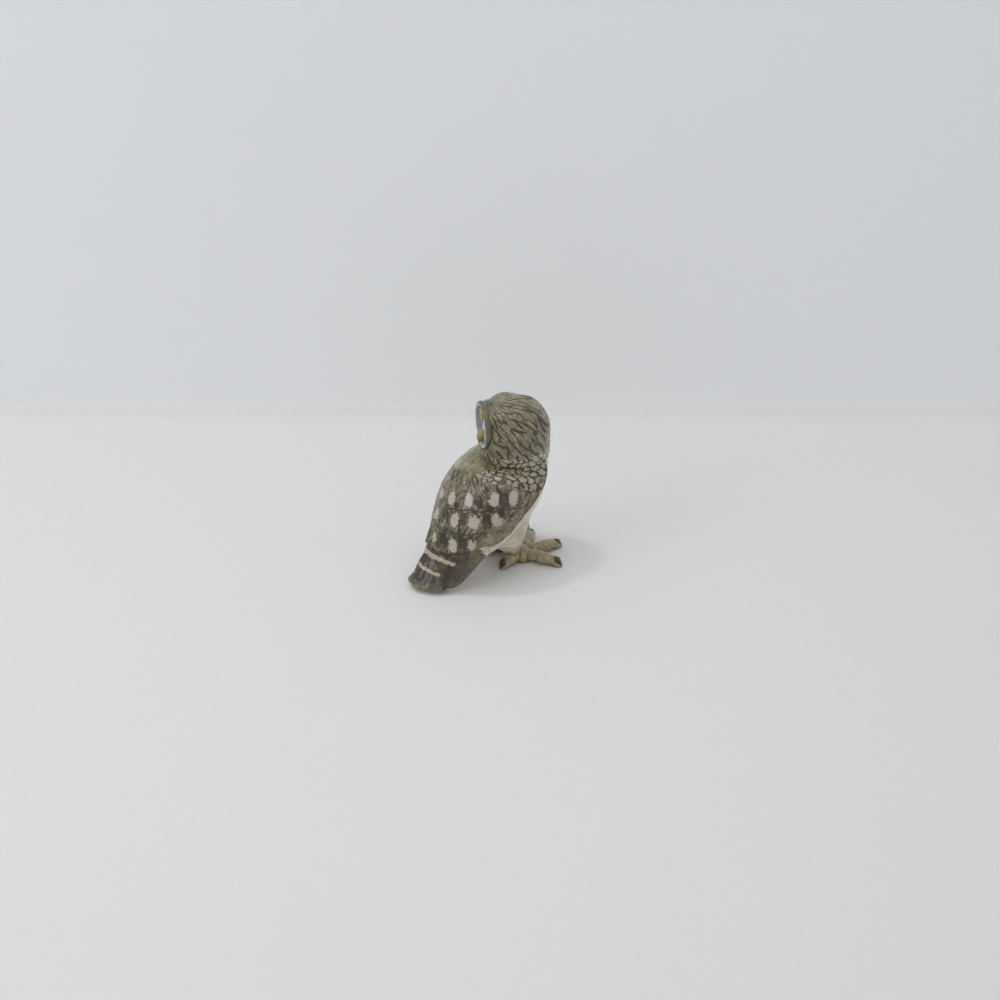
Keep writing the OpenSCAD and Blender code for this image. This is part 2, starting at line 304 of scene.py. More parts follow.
class Paintbox:
    """Builds one material's nodes."""

    def __init__(self, name: str) -> None:
        """Starts an empty material with an output."""
        self.material = bpy.data.materials.new(name)
        self.material.use_nodes = True
        self.tree = self.material.node_tree
        self.tree.nodes.clear()
        self.output = self.tree.nodes.new("ShaderNodeOutputMaterial")
        self.place = self.node("TexCoord", {}, {}, "Object")

    def node(self, kind: str, settings: dict, inputs: dict, result: Union[str, int] = 0) -> Value:
        """Adds any node.

        Args:
            kind: Type of the node without its ShaderNode prefix.
            settings: Properties, set first.
            inputs: Number, colour or value of each socket, by name or place.
            result: Name or place of the output that is wanted.

        Returns:
            That output.
        """
        node = self.tree.nodes.new("ShaderNode" + kind)
        for key, v in settings.items():
            setattr(node, key, v)
        for key, v in inputs.items():
            if isinstance(v, Value):
                self.tree.links.new(v.socket, node.inputs[key])
            elif v is not None:
                node.inputs[key].default_value = v
        return Value(self.tree, node.outputs[result])

    def mask(self, name: str) -> Value:
        """A painted mask of the piece."""
        return self.node("Attribute", {"attribute_name": name}, {}, "Fac")

    def flow(self) -> Value:
        """Place along the feathers, from the piece's own attribute."""
        return self.node("Attribute", {"attribute_name": "flow"}, {}, "Vector")

    def noise(self, per_mm: Union[float, tuple], detail: float = 3.0, where: Optional[Value] = None,
              rough: float = 0.55) -> Value:
        """Noise of 0 to 1.

        Args:
            per_mm: Features in a millimetre, alike in all directions or one number for each axis.
            detail: Number of finer layers.
            where: Coordinates in mm; the object's own if left out.
            rough: Strength of the finer layers.

        Returns:
            The noise.
        """
        scale = per_mm if isinstance(per_mm, tuple) else (per_mm,) * 3
        if where is None:
            where, scale = self.place, tuple(v / MM for v in scale)
        spot = self.node("VectorMath", {"operation": "MULTIPLY"}, {0: where, 1: scale})
        return self.node("TexNoise", {}, {"Vector": spot, "Scale": 1.0, "Detail": detail, "Roughness": rough})

    def ramp(self, value: Value, lo: float, hi: float) -> Value:
        """Smooth ramp from 0 where the value is lo to 1 where it is hi."""
        return self.node("MapRange", {"interpolation_type": "SMOOTHSTEP"},
                         {"Value": value, "From Min": lo, "From Max": hi})

    def blend(self, share: Input, a: object, b: object) -> Value:
        """Mixes two colours.

        Args:
            share: Share of b, from 0 to 1.
            a: First colour.
            b: Second colour.

        Returns:
            The mixed colour.
        """
        return self.node("Mix", {"data_type": "RGBA", "blend_type": "MIX", "clamp_factor": True},
                         {0: share, 6: a, 7: b}, 2)

    def bumps(self, height: Value, depth_mm: float) -> Value:
        """Normal of a relief whose height of 1 stands depth_mm proud."""
        return self.node("Bump", {}, {"Height": height, "Distance": depth_mm * MM, "Strength": 1.0})

    def glaze(self, colour: Value, roughness: Input, coat: Input, coat_roughness: float,
              normal: Optional[Value] = None) -> bpy.types.Material:
        """Closes the material with painted clay under clear glass.

        Args:
            colour: Colour of the painted clay.
            roughness: Roughness of the clay under the glass.
            coat: Weight of the glass.
            coat_roughness: Roughness of the glass.
            normal: Normal of the surface.

        Returns:
            The finished material.
        """
        glass = self.node("BsdfPrincipled", {}, {
            "Base Color": colour, "Roughness": roughness, "Coat Weight": coat, "Normal": normal,
            "Coat Roughness": coat_roughness, "Coat IOR": 1.5, "Specular IOR Level": 0.15})
        self.tree.links.new(glass.socket, self.output.inputs[0])
        return self.material


@dataclass(frozen=True)
class PlumageGlaze:
    """Painted feathers: a mottled ground, brushed marks, painted shadow under the feather rows and fine
    hatching along the feathers.
    """
    name: str
    ground: Colour = shade(152, 141, 115)
    ground_dark: Colour = shade(82, 72, 54)
    olive: Colour = shade(140, 134, 95)
    white: Colour = shade(188, 182, 171)
    pale: Colour = shade(184, 175, 153)
    line: Colour = shade(48, 39, 25)
    dark: Colour = shade(44, 30, 17)
    rust: Colour = shade(74, 44, 25)
    grey: Colour = shade(84, 74, 66)
    belly: Colour = shade(208, 200, 182)
    hatch: float = 0.75
    roughness: float = 0.34

    def build(self) -> bpy.types.Material:
        """The glaze's material: each mask is broken up by brush noise and laid over the ground."""
        box = Paintbox(self.name)
        flow = box.flow()
        cloud, mottle, speck = box.noise(0.35, 2.0), box.noise(1.3, 4.0), box.noise(9.0, 2.0)
        brush = box.noise((1.5, 0.34, 1.0), 4.0, flow, 0.62)
        fine = box.noise((3.6, 0.6, 1.0), 5.0, flow, 0.68)
        colour = box.blend(box.ramp(mottle * 0.6 + brush * 0.4, 0.36, 0.62), self.ground_dark, self.ground)
        colour = box.blend((box.mask("olive") * box.ramp(cloud * 0.4 + mottle * 0.6, 0.3, 0.6)).held(),
                           colour, self.olive)
        grain = fine * 0.7 + brush * 0.3 - box.mask("hatch") * 0.035
        hatch = box.ramp(grain, 0.50, 0.375) * box.mask("hatch") * self.hatch
        colour = box.blend(hatch.held(), colour, self.line)
        light = box.ramp(fine * 0.5 + speck * 0.2 + brush * 0.3, 0.54, 0.66) * box.mask("hatch") * 0.5
        colour = box.blend(light.held(), colour, self.pale)
        # The line mask also carries painted shadow under the edges of the feather rows
        for name, paint, ragged, strength in (
                ("pale", self.pale, 0.5, 0.9), ("grey", self.grey, 0.5, 0.8),
                ("belly", self.belly, 0.15, 1.0),
                ("dark", self.dark, 0.75, 0.97), ("rust", self.rust, 0.7, 0.85),
                ("white", self.white, 0.55, 0.92), ("line", self.line, 0.45, 0.9)):
            worn = box.mask(name) - (brush * 0.5 + speck * 0.5 - 0.5) * ragged
            colour = box.blend(box.ramp(worn, 0.24, 0.68) * strength, colour, paint)
        veil = box.ramp(cloud, 0.45, 0.65) * 0.08
        colour = box.blend(veil, colour, shade(178, 169, 148))
        colour = box.blend((speck * 0.2).held(), colour, shade(80, 71, 54))
        height = mottle * 0.35 + speck * 0.04 + cloud * 0.9
        return box.glaze(colour, self.roughness + speck * 0.14, (1.0 - mottle * 0.1).held(), 0.045,
                         box.bumps(height, 0.035))


@dataclass(frozen=True)
class BareGlaze:
    """White breast and legs: milky glaze over white clay, with a greyer bloom in patches."""
    name: str
    clay: Colour = shade(228, 219, 202)
    bloom: Colour = shade(206, 197, 178)
    stain: Colour = shade(156, 141, 112)

    def build(self) -> bpy.types.Material:
        """The glaze's material: two clouds of tone, pinholes and a stain where the masks ask for it."""
        box = Paintbox(self.name)
        cloud, mottle, speck = box.noise(0.22, 2.0), box.noise(1.1, 4.0), box.noise(12.0, 1.0)
        colour = box.blend(box.ramp(cloud * 0.7 + mottle * 0.3, 0.4, 0.62), self.clay, self.bloom)
        colour = box.blend((box.mask("stain") * box.ramp(mottle, 0.3, 0.6)).held(), colour, self.stain)
        colour = box.blend(box.ramp(speck, 0.66, 0.74) * 0.35, colour, shade(120, 112, 98))
        return box.glaze(colour, 0.3 + speck * 0.12, (1.0 - mottle * 0.08).held(), 0.04,
                         box.bumps(mottle * 0.6 + cloud + speck * 0.1, 0.03))


@dataclass(frozen=True)
class ToeGlaze:
    """Toes and palms: beige with painted brown shade at the roots, in the knuckle creases, between the toes
    and on the undersides, and near-black claws.
    """
    name: str
    skin: Colour = shade(170, 156, 124)
    shadow: Colour = shade(92, 78, 54)
    claw: Colour = shade(38, 33, 26)

    def build(self) -> bpy.types.Material:
        """The glaze's material: the painted brown shade follows its mask, the claw mask is brushed
        near-black.
        """
        box = Paintbox(self.name)
        mottle, speck, cloud = box.noise(1.6, 4.0), box.noise(8.0, 2.0), box.noise(0.6, 2.0)
        colour = box.blend(box.ramp(mottle * 0.7 + cloud * 0.3, 0.36, 0.64), self.skin, shade(144, 129, 96))
        # Painted shade: the shadow colour goes where the mask marks creases, roots and undersides
        fold_shades = box.ramp(box.mask("fold_shade") + (mottle - 0.5) * 0.7, 0.25, 0.95)
        colour = box.blend(fold_shades * 0.85, colour, self.shadow)
        claw = box.ramp(box.mask("claw") - (speck - 0.5) * 0.5, 0.35, 0.6)
        colour = box.blend(claw * 0.95, colour, self.claw)
        return box.glaze(colour, 0.34 + speck * 0.12, (1.0 - mottle * 0.1).held(), 0.05,
                         box.bumps(mottle * 0.7 + speck * 0.2, 0.035))


@dataclass(frozen=True)
class FaceGlaze:
    """Facial disc: lavender grey with dark rings and strokes, a white rim line and a greenish rim."""
    name: str
    lilac: Colour = shade(140, 140, 148)
    slate: Colour = shade(52, 54, 58)
    white: Colour = shade(206, 205, 202)
    rim: Colour = shade(98, 93, 70)

    def build(self) -> bpy.types.Material:
        """The glaze's material: rings, white marks and rim masks over a lilac ground."""
        box = Paintbox(self.name)
        mottle, speck = box.noise(1.8, 4.0), box.noise(10.0, 2.0)
        brush = box.noise((2.6, 0.6, 1.0), 4.0, box.flow(), 0.6)
        colour = box.blend(box.ramp(mottle, 0.35, 0.65), self.lilac, shade(128, 126, 132))
        for name, paint, strength in (("rim", self.rim, 0.95), ("ring", self.slate, 0.85),
                                      ("white", self.white, 0.95), ("dark", self.slate, 0.95)):
            worn = box.mask(name) - (brush * 0.6 + speck * 0.4 - 0.5) * 0.7
            colour = box.blend(box.ramp(worn, 0.3, 0.65) * strength, colour, paint)
        return box.glaze(colour, 0.32 + speck * 0.12, (1.0 - mottle * 0.1).held(), 0.045,
                         box.bumps(mottle * 0.6 + speck * 0.2, 0.03))


@dataclass(frozen=True)
class SmallGlaze:
    """Beak and eyes: one warm colour that darkens where the shade mask says, with a black part."""
    name: str
    bright: Colour
    deep: Colour
    black: Colour = shade(20, 18, 16)
    coat_roughness: float = 0.04

    def build(self) -> bpy.types.Material:
        """The glaze's material: bright to deep by mask and noise, then the black part."""
        box = Paintbox(self.name)
        mottle, speck = box.noise(3.0, 3.0), box.noise(14.0, 1.0)
        depth = box.ramp(box.mask("shade") + (mottle - 0.5) * 0.6, 0.2, 0.9)
        colour = box.blend(depth, self.bright, self.deep)
        colour = box.blend(box.ramp(box.mask("black") - (speck - 0.5) * 0.1, 0.4, 0.6), colour, self.black)
        return box.glaze(colour, 0.26 + speck * 0.1, (1.0 - mottle * 0.05).held(), self.coat_roughness,
                         box.bumps(mottle, 0.015))


# ---- the torso: one surface that breast, wings and tail share ----

class Side(Enum):
    """The owl's own sides: -1 is right, towards -X."""
    RIGHT = -1
    LEFT = 1


@dataclass
class Torso:
    """Sections strung along a spine from the neck to the tail's end, and the coordinates on them."""
    neck_h: float
    scale: float
    middle: Array
    neck_back: float = 2.4
    half_w: float = 10.2
    half_d: float = 8.8
    neck_r: float = 7.2
    tail_reach: float = 25.0
    half_tail: float = 5.45
    tail_t: float = 2.5
    lean: float = 2.2
    turn: float = 30.0
    length: float = 36.0
    flank: tuple = (110.0, 108.0, 95.0, 89.0, 89.0, 76.0, 70.0, 62.0, 56.0)
    ridge: tuple = (106.0, 100.0, 92.0, 62.0, 52.0, 48.0, 54.0, 60.0, 62.0)

    @classmethod
    def from_frame(cls) -> "Torso":
        """Takes the neck's height, the scale and the ankles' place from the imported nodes."""
        low, high = CAD_BOX
        feet = [sum(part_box(n), Vector()) / 2 for n in ("foot_right", "foot_left")]
        ankle = (feet[0] + feet[1]) / 2 / MM
        scale = (high.z - low.z) / MM / DESIGN_HEIGHT
        middle = np.array([ankle.x, ankle.y - ANKLE_BACK * scale, 0.0])
        return cls(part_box("head")[0].z / MM / scale, scale, middle)

    def spine(self) -> Array:
        """Rows of place (3), tilt, turn about the vertical, half width, and depths to back and belly."""
        w, d, t, h, q = self.half_w, self.half_d, self.half_tail, self.neck_h, self.tail_t

        def back(share: float) -> float:
            """Place behind the ankles at a share of the way to the tail's end."""
            return self.neck_back + (self.tail_reach - self.neck_back) * share
        return np.array([
            [0, back(0), h, 0, 0, self.neck_r, self.neck_r, self.neck_r],
            [0.1, back(0.07), h * 0.89, 18, 0, w * 0.85, d * 0.93, d * 0.85],
            [0.4, back(0.19), h * 0.74, 30, 0, w * 0.96, d * 1.01, d * 0.9],
            [0.8, back(0.33), h * 0.59, 38, 0, w * 0.96, d * 0.96, d * 0.76],
            [1, back(0.48), h * 0.455, 43, 0, w * 0.86, d * 0.82, d * 0.5],
            [self.lean * 0.55, back(0.635), h * 0.33, 46, self.turn * 0.15,
             w * 0.34 + t * 0.66, d * 0.61, d * 0.26],
            [self.lean * 0.62, back(0.775), h * 0.215, 47, self.turn * 0.45, t * 1.13, q * 1.4, q * 0.95],
            [self.lean * 0.8, back(0.9), h * 0.1, 45, self.turn * 0.75, t * 1.01, q * 0.95, q * 0.75],
            [self.lean, back(1), h * 0.02, 42, self.turn, t * 0.92, q * 0.62, q * 0.9]])

    def point(self, s: Array, phi: Array, lift: Union[Array, float] = 0.0) -> Array:
        """Point of the surface, or of a skin over it.

        A section is an ellipse of one half width and two depths in a tilted plane; the point is
        middle + (width + lift) sin(phi) side + (depth + lift) cos(phi) back, kept above the ground.

        Args:
            s: Place along the spine, 0 at the neck and 1 at the tail's end.
            phi: Angle in degrees from the back's middle, positive to the owl's left.
            lift: Height above the surface in mm.

        Returns:
            Points in mm.
        """
        s, phi = np.broadcast_arrays(np.asarray(s, float), np.asarray(phi, float))
        r = along(self.spine(), s)
        tilt, turn, a = np.radians(r[..., 3]), np.radians(r[..., 4]), np.radians(phi)
        side = np.stack([np.cos(turn), np.sin(turn), 0 * turn], -1)
        back = np.stack([-np.sin(turn) * np.cos(tilt), np.cos(turn) * np.cos(tilt), np.sin(tilt)], -1)
        front = 0.5 - 0.5 * np.clip(np.cos(a) * 12, -1, 1)
        depth = mix(r[..., 6], r[..., 7], front) + lift
        across, deep = (r[..., 5] + lift) * np.sin(a), depth * np.cos(a)
        p = r[..., :3] + across[..., None] * side + deep[..., None] * back
        end = smooth(0.86, 1.0, s) * np.clip(np.cos(a) + 0.6, 0, 1)
        p = p + (end * (0.9 - 3.2 * np.sin(a) ** 4))[..., None] * np.array([-0.45, 0.75, -0.35])
        p[..., 2] = np.maximum(p[..., 2], 0.0)
        return p * self.scale + self.middle

    def flank_at(self, s: Array) -> Array:
        """Angle from the back's middle to the wing's lower boundary."""
        return along(self.flank, s)[..., 0]

    def ridge_at(self, s: Array) -> Array:
        """Angle from the back's middle to the pale ridge along a wing's lower feathers."""
        return along(self.ridge, s)[..., 0]


@dataclass(frozen=True)
class Row:
    """One row of overlapping feathers: its scalloped lower edge and its thickness in mm."""
    edge: float
    drop: float
    power: float
    height: float
    scallop: float = 0.011
    width: float = 21.0
    centre: float = 12.0

    def edge_at(self, phi: Array) -> Array:
        """Place of the edge: edge - drop (|phi - centre| / 72)^power, plus a rounded scallop a feather."""
        off = np.abs(phi - self.centre) / 72
        feather = np.abs(np.cos(np.pi * (phi - self.centre) / self.width)) ** 0.6
        return self.edge - self.drop * off ** self.power + self.scallop * (feather - 0.6)


@dataclass(frozen=True)
class Mark:
    """One brush mark on the feathers: its mask, place, length and width in mm, and slant in degrees."""
    mask: str
    s: float
    phi: float
    length: float
    width: float
    slant: float = 0.0


@dataclass
class Plumage:
    """Relief and painted masks of the feathered surface, shared by wings and tail so that they meet."""
    torso: Torso
    rows: tuple = (Row(0.478, 0.165, 1.45, 0.2), Row(0.599, 0.14, 2.6, 0.24), Row(0.737, 0.14, 2.4, 0.26))
    marks: tuple = (
        Mark("white", 0.424, 11.0, 2.9, 1.9, 12), Mark("white", 0.378, -12.0, 3.0, 2.0, 12),
        Mark("white", 0.302, -38.0, 3.0, 2.0, 8), Mark("white", 0.246, -57.5, 3.0, 2.0, 6),
        Mark("pale", 0.430, 33.0, 2.4, 1.4, 12), Mark("pale", 0.380, 56.0, 2.2, 1.6, 10),
        Mark("dark", 0.356, -24.0, 2.9, 2.0, 30), Mark("rust", 0.368, -24.0, 1.6, 1.2, 30),
        Mark("dark", 0.284, -48.5, 3.2, 2.6, 35), Mark("rust", 0.270, -48.0, 1.8, 1.5, 20),
        Mark("dark", 0.447, 0.0, 1.6, 1.5, 10), Mark("dark", 0.455, 23.0, 1.4, 1.3, 0),
        Mark("dark", 0.506, 15.0, 3.5, 1.9, 6), Mark("rust", 0.515, 16.0, 1.8, 0.8, 6),
        Mark("white", 0.532, -4.5, 2.9, 2.0, 8), Mark("dark", 0.503, -15.5, 3.6, 1.7, 10),
        Mark("rust", 0.500, -15.0, 2.8, 1.1, 10), Mark("white", 0.490, -31.0, 2.8, 2.4, 10),
        Mark("dark", 0.442, -44.0, 3.4, 2.0, 38), Mark("rust", 0.465, -46.5, 1.6, 1.3, 30),
        Mark("pale", 0.412, -54.0, 2.8, 2.4, 20), Mark("dark", 0.360, -53.5, 2.0, 1.5, 25),
        Mark("dark", 0.368, -39.0, 1.7, 1.4, 0), Mark("dark", 0.428, -22.0, 1.5, 1.8, 0),
        Mark("pale", 0.545, 34.0, 2.4, 1.6, 8), Mark("dark", 0.500, 52.0, 2.6, 1.6, 8),
        Mark("dark", 0.655, 47.0, 2.8, 1.5, 10), Mark("pale", 0.668, 27.0, 2.6, 1.3, 10),
        Mark("dark", 0.648, 8.0, 3.6, 2.2, 12), Mark("white", 0.675, -14.0, 2.9, 2.1, 12),
        Mark("dark", 0.636, -30.0, 3.2, 2.0, 12), Mark("rust", 0.654, -31.0, 1.8, 1.2, 12),
        Mark("pale", 0.618, -44.0, 2.2, 1.6, 12),
        Mark("dark", 0.748, 30.0, 1.8, 3.8, 0), Mark("dark", 0.758, -2.0, 2.0, 3.6, 0),
        Mark("rust", 0.752, 12.0, 1.2, 2.4, 0), Mark("dark", 0.775, -34.0, 2.6, 3.2, 0),
        Mark("rust", 0.778, -33.0, 1.2, 2.0, 0),
        Mark("dark", 0.812, 34.0, 2.6, 3.6, 0), Mark("dark", 0.826, 2.0, 2.6, 4.4, 0),
        Mark("rust", 0.826, 14.0, 1.6, 3.8, 0), Mark("rust", 0.812, -10.0, 1.6, 2.2, 0),
        Mark("dark", 0.830, -20.0, 2.2, 2.0, 0),
        Mark("dark", 0.905, 40.0, 1.9, 3.2, 0), Mark("grey", 0.935, -2.0, 3.0, 3.6, 0),
        Mark("dark", 0.905, 10.0, 1.6, 4.0, 0), Mark("dark", 0.925, 14.0, 1.2, 3.0, 0),
        Mark("dark", 0.912, -30.0, 3.4, 1.5, 0), Mark("dark", 0.940, -44.0, 3.0, 1.2, 0))
    upper_bar: tuple = (0.778, 0.010, 0.027, -32.0)
    lower_bar: tuple = (0.872, 0.018, 0.025, -12.0)
    ruff_depth: float = 0.13
    cell_w: float = 1.95
    cell_h: float = 1.55
    mm_per_degree: float = 0.155

    def __post_init__(self) -> None:
        """Seeds the noises that all pieces share."""
        self.wobble, self.ragged, self.broad = Ripple(3, 4.0), Ripple(5, 0.8, 40), Ripple(8, 9.0)

    def ruff(self, phi: Array, down: Array, p: Array) -> tuple[Array, Array, Array]:
        """Rounded cells of the ruff below the head.

        Args:
            phi: Angle from the back's middle in degrees.
            down: Distance below the neck seam in mm, negative on the head.
            p: Points in mm, for the noise.

        Returns:
            Share of the surface that the ruff takes, dome height of its cells, and dark outlines.
        """
        warp = self.wobble(p) * 0.12
        fuzz = 0.16 * self.ragged(p * 0.7)
        gap, tone = cells((phi * self.mm_per_degree + 2.4 * warp + fuzz) / self.cell_w + 40,
                          (down - 2.0 * warp - fuzz) / self.cell_h + 40, 11)
        left = smooth(-10, 4, phi + 4 * self.wobble(p)) * (1 - smooth(58, 75, phi))
        share = smooth(-3.4, -1.2, down + 0.5 * self.wobble(p * 1.7)) * (1 - 0.85 * left)
        share = share * (1 - smooth(6.4, 8.2, down + 0.6 * self.wobble(p)))
        dome = share * smooth(0.02, 0.5, gap) * (0.75 + 0.5 * tone)
        return share, dome, 0.8 * share * (1 - smooth(0.05 + 0.1 * tone, 0.34 + 0.1 * tone, gap))

    def relief(self, s: Array, phi: Array, p: Array) -> tuple[Array, Array]:
        """Height of the feather rows in mm and the dark shade under their edges.

        A row rises from the edge above to its own edge and drops there over 0.25 mm. The ruff's
        cells are domed, and a low ridge runs along the wing's lower feathers.

        Args:
            s: Places along the spine.
            phi: Angles in degrees.
            p: Points in mm, for the noise.

        Returns:
            Height and shade.
        """
        wave = 0.003 * self.wobble(p)
        above, height, shadow = 0.22, 0.0 * s, 0.0 * s
        for row in self.rows:
            edge = row.edge_at(phi) + wave
            rise = np.clip((s - above) / (edge - above), 0, 1) ** 1.6
            height = height + row.height * rise * (1 - smooth(0.0, 0.007, s - edge))
            shadow = shadow + bump(s - edge, 0.0070, 0.0055)
            above = edge
        _, dome, _ = self.ruff(phi, s * self.torso.length, p)
        ridge = np.abs(phi) - self.torso.ridge_at(s)
        height = height + self.ruff_depth * dome + 0.2 * bump(ridge, 0, 4.5) * smooth(0.25, 0.4, s)
        height = height + 0.035 * self.wobble(p * 1.5)
        return height, np.clip(shadow, 0, 1)

    def paint(self, s: Array, phi: Array, p: Array) -> Masks:
        """Painted masks of a feathered surface.

        Args:
            s: Places along the spine.
            phi: Angles in degrees.
            p: Points in mm.

        Returns:
            Masks by name.
        """
        t = self.torso
        out = {k: np.zeros(s.shape) for k in ("white", "dark", "rust", "pale", "grey", "belly")}
        rag = self.ragged(p)
        for m in self.marks:
            spot, ahead, beside = (t.point(np.array(m.s + a), np.array(m.phi + b))
                                   for a, b in ((0, 0), (0.01, 0), (0, 1.0)))
            down, across = ahead - spot, beside - spot
            down, across = down / np.linalg.norm(down), across / np.linalg.norm(across)
            d = p - spot
            x, y, tilt = d @ across, d @ down, np.radians(m.slant)
            u, v = x * np.cos(tilt) + y * np.sin(tilt), y * np.cos(tilt) - x * np.sin(tilt)
            rough = {"white": 0.1, "pale": 0.14}.get(m.mask, 0.16)
            r = (np.abs(u / m.width * 2) ** 2.4 + np.abs(v / m.length * 2) ** 2.4) ** (1 / 2.4)
            out[m.mask] = np.maximum(out[m.mask], 1 - smooth(0.62, 1.18, r + rough * rag))
        share, dome, outline = self.ruff(phi, s * t.length, p)
        _, shadow = self.relief(s, phi, p)
        ridge = np.abs(phi) - t.ridge_at(s)
        flank = smooth(1, 5, ridge) * smooth(0.24, 0.32, s)
        back = (1 - flank) * smooth(0.2, 0.27, s)
        bars = self.bar(s, phi, p, *self.upper_bar) + self.bar(s, phi, p, *self.lower_bar)
        left = smooth(0, 18, phi) * (1 - smooth(0.3, 0.42, s))
        out["pale"] = np.maximum(out["pale"], 0.95 * bars * (1 - flank))
        rump = 0.55 * smooth(0.735, 0.76, s) * (1 - smooth(0.86, 0.92, s)) * (1 - flank)
        out["dark"] = np.maximum(out["dark"], rump) * (1 - bars)
        out["rust"] = out["rust"] * (1 - bars)
        out["pale"] = np.clip(np.maximum(out["pale"], 0.55 * smooth(0.25, 1.0, dome))
                              + 0.3 * bump(ridge, 0, 2.6) * smooth(0.3, 0.4, s)
                              + 0.5 * left * smooth(0.4, 1.4, self.wobble(p * 1.4)), 0, 1)
        slant = phi * self.mm_per_degree + 0.7 * s * t.length + 0.5 * self.wobble(p)
        stroke = np.abs((slant / 1.15) % 1.0 - 0.5)
        touch = smooth(0.19, 0.23, s) * (1 - smooth(0.31, 0.37, s + 0.0012 * (phi + 20)))
        touch = touch * smooth(75, 60, -phi) * smooth(-1.2, 0.2, self.wobble(p * 1.3))
        clear = (1 - out["white"]) * (1 - smooth(0.2, 0.8, out["pale"]))
        # The line mask carries the ruff's outlines, brushed strokes and painted shadow under each feather
        # row's edge
        out["line"] = np.clip(outline + 1.0 * shadow * (1 - flank) * (1 - bars)
                              + clear * touch * (1 - smooth(0.12, 0.3, stroke)), 0, 1)
        out["olive"] = np.clip(0.1 + 0.9 * left + 1.0 * smooth(0.93, 0.985, s) + 0.15 * flank
                               + 0.15 * self.broad(p), 0, 1)
        out["hatch"] = np.clip(0.45 + back * (0.85 + 0.7 * smooth(0.45, 0.62, s)) - 0.6 * share
                               + 0.3 * left - 0.9 * smooth(0.93, 0.99, s), 0, 2.0)
        out["flow"] = np.stack([phi * 0.15, s * t.length, 0 * s], -1)
        return out

    def bar(self, s: Array, phi: Array, p: Array, at: float, bow: float, width: float, reach: float) -> Array:
        """Pale brushed bar across the tail.

        Args:
            s: Places along the spine.
            phi: Angles in degrees.
            p: Points in mm, for the ragged edge.
            at: Place of the bar's middle along the spine.
            bow: How far the bar climbs towards the owl's left.
            width: Width of the bar along the spine.
            reach: Angle at which the bar ends on the owl's right.

        Returns:
            Share of the bar's paint.
        """
        line = at - bow * (phi / 40) - 0.010 * (phi / 40) ** 2
        off = np.abs(s - line) + 0.0025 * self.ragged(p)
        return smooth(reach - 5, reach + 5, phi) * (1 - smooth(width * 0.25, width * 0.62, off))


def push(grid: Array, height: Array) -> Array:
    """Moves each point of a grid along the surface's normal.

    The normal is the cross product of the differences to the neighbours in the row and the column,
    turned away from the grid's middle.

    Args:
        grid: Points in mm, rows x columns x 3; each row is a closed ring.
        height: Distance to move in mm.

    Returns:
        The moved points.
    """
    across = np.roll(grid, -1, 1) - np.roll(grid, 1, 1)
    normal = np.cross(across, np.gradient(grid, axis=0))
    length = np.linalg.norm(normal, axis=-1, keepdims=True)
    normal = normal / np.maximum(length, 1e-9)
    outward = grid - grid.mean((0, 1))
    if (normal * outward).sum() < 0:
        normal = -normal
    return grid + normal * (height * (length[..., 0] > 1e-7))[..., None]


@dataclass
class Wing:
    """A folded wing: a thin shell from the back's middle to the flank, ending in scalloped coverts."""
    side: Side
    plumage: Plumage
    thickness: float = 0.9
    base: float = 0.82
    most: float = 0.88
    across: tuple = (0.55, 0.75, 0.9, 1.0, 1.0, 0.7)
    down: tuple = (0.0, 0.55, 0.95, 1.0, 1.0, 0.9, 0.5)
    rows: int = 300
    cols: int = 150

    def build(self, material: bpy.types.Material) -> bpy.types.Object:
        """Builds the shell: the outer skin's columns run out, and a few inside the breast run back.

        Args:
            material: The feathers' glaze.

        Returns:
            The wing.
        """
        torso, name = self.plumage.torso, self.side.name.lower()
        t, k = np.meshgrid(np.linspace(0, 1, self.rows), np.linspace(0, 1, self.cols), indexing="ij")
        phi = self.side.value * k * torso.flank_at(t * 0.7)
        s = t * (self.plumage.rows[-1].edge_at(phi) + 0.005)
        phi = self.side.value * k * torso.flank_at(s)
        lift = self.thickness * along(self.down, t)[..., 0] * along(self.across, k)[..., 0]
        flat = torso.point(s, phi)
        height, _ = self.plumage.relief(s, phi, flat)
        rim = (1 - smooth(0.93, 1.0, k)) * (1 - smooth(0.988, 1.0, t))
        proud = np.minimum(self.base * lift + height, self.most)
        skin = torso.point(s, phi, proud * rim - 0.12 * (1 - rim))
        masks = self.plumage.paint(s, phi, flat)
        edge = np.abs(phi) - torso.flank_at(s)
        masks["belly"] = smooth(-4, -1.0, edge + 1.2 * self.plumage.wobble(flat)) * smooth(0.03, 0.12, s)
        inner = np.linspace(0.985, 0.0, 9)[None, :] * np.ones((self.rows, 1))
        back = torso.point(s[:, -1:] * inner + s[:, :1] * (1 - inner), phi[:, -1:] * inner, -0.5)
        grid = np.concatenate([skin, back], 1)
        masks = {key: np.concatenate([v, np.repeat(v[:, -1:], 9, 1)], 1) for key, v in masks.items()}
        wing = make_mesh(f"wing_{name}_feathers", grid, masks, material)
        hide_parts(f"wing_{name}")
        return wing


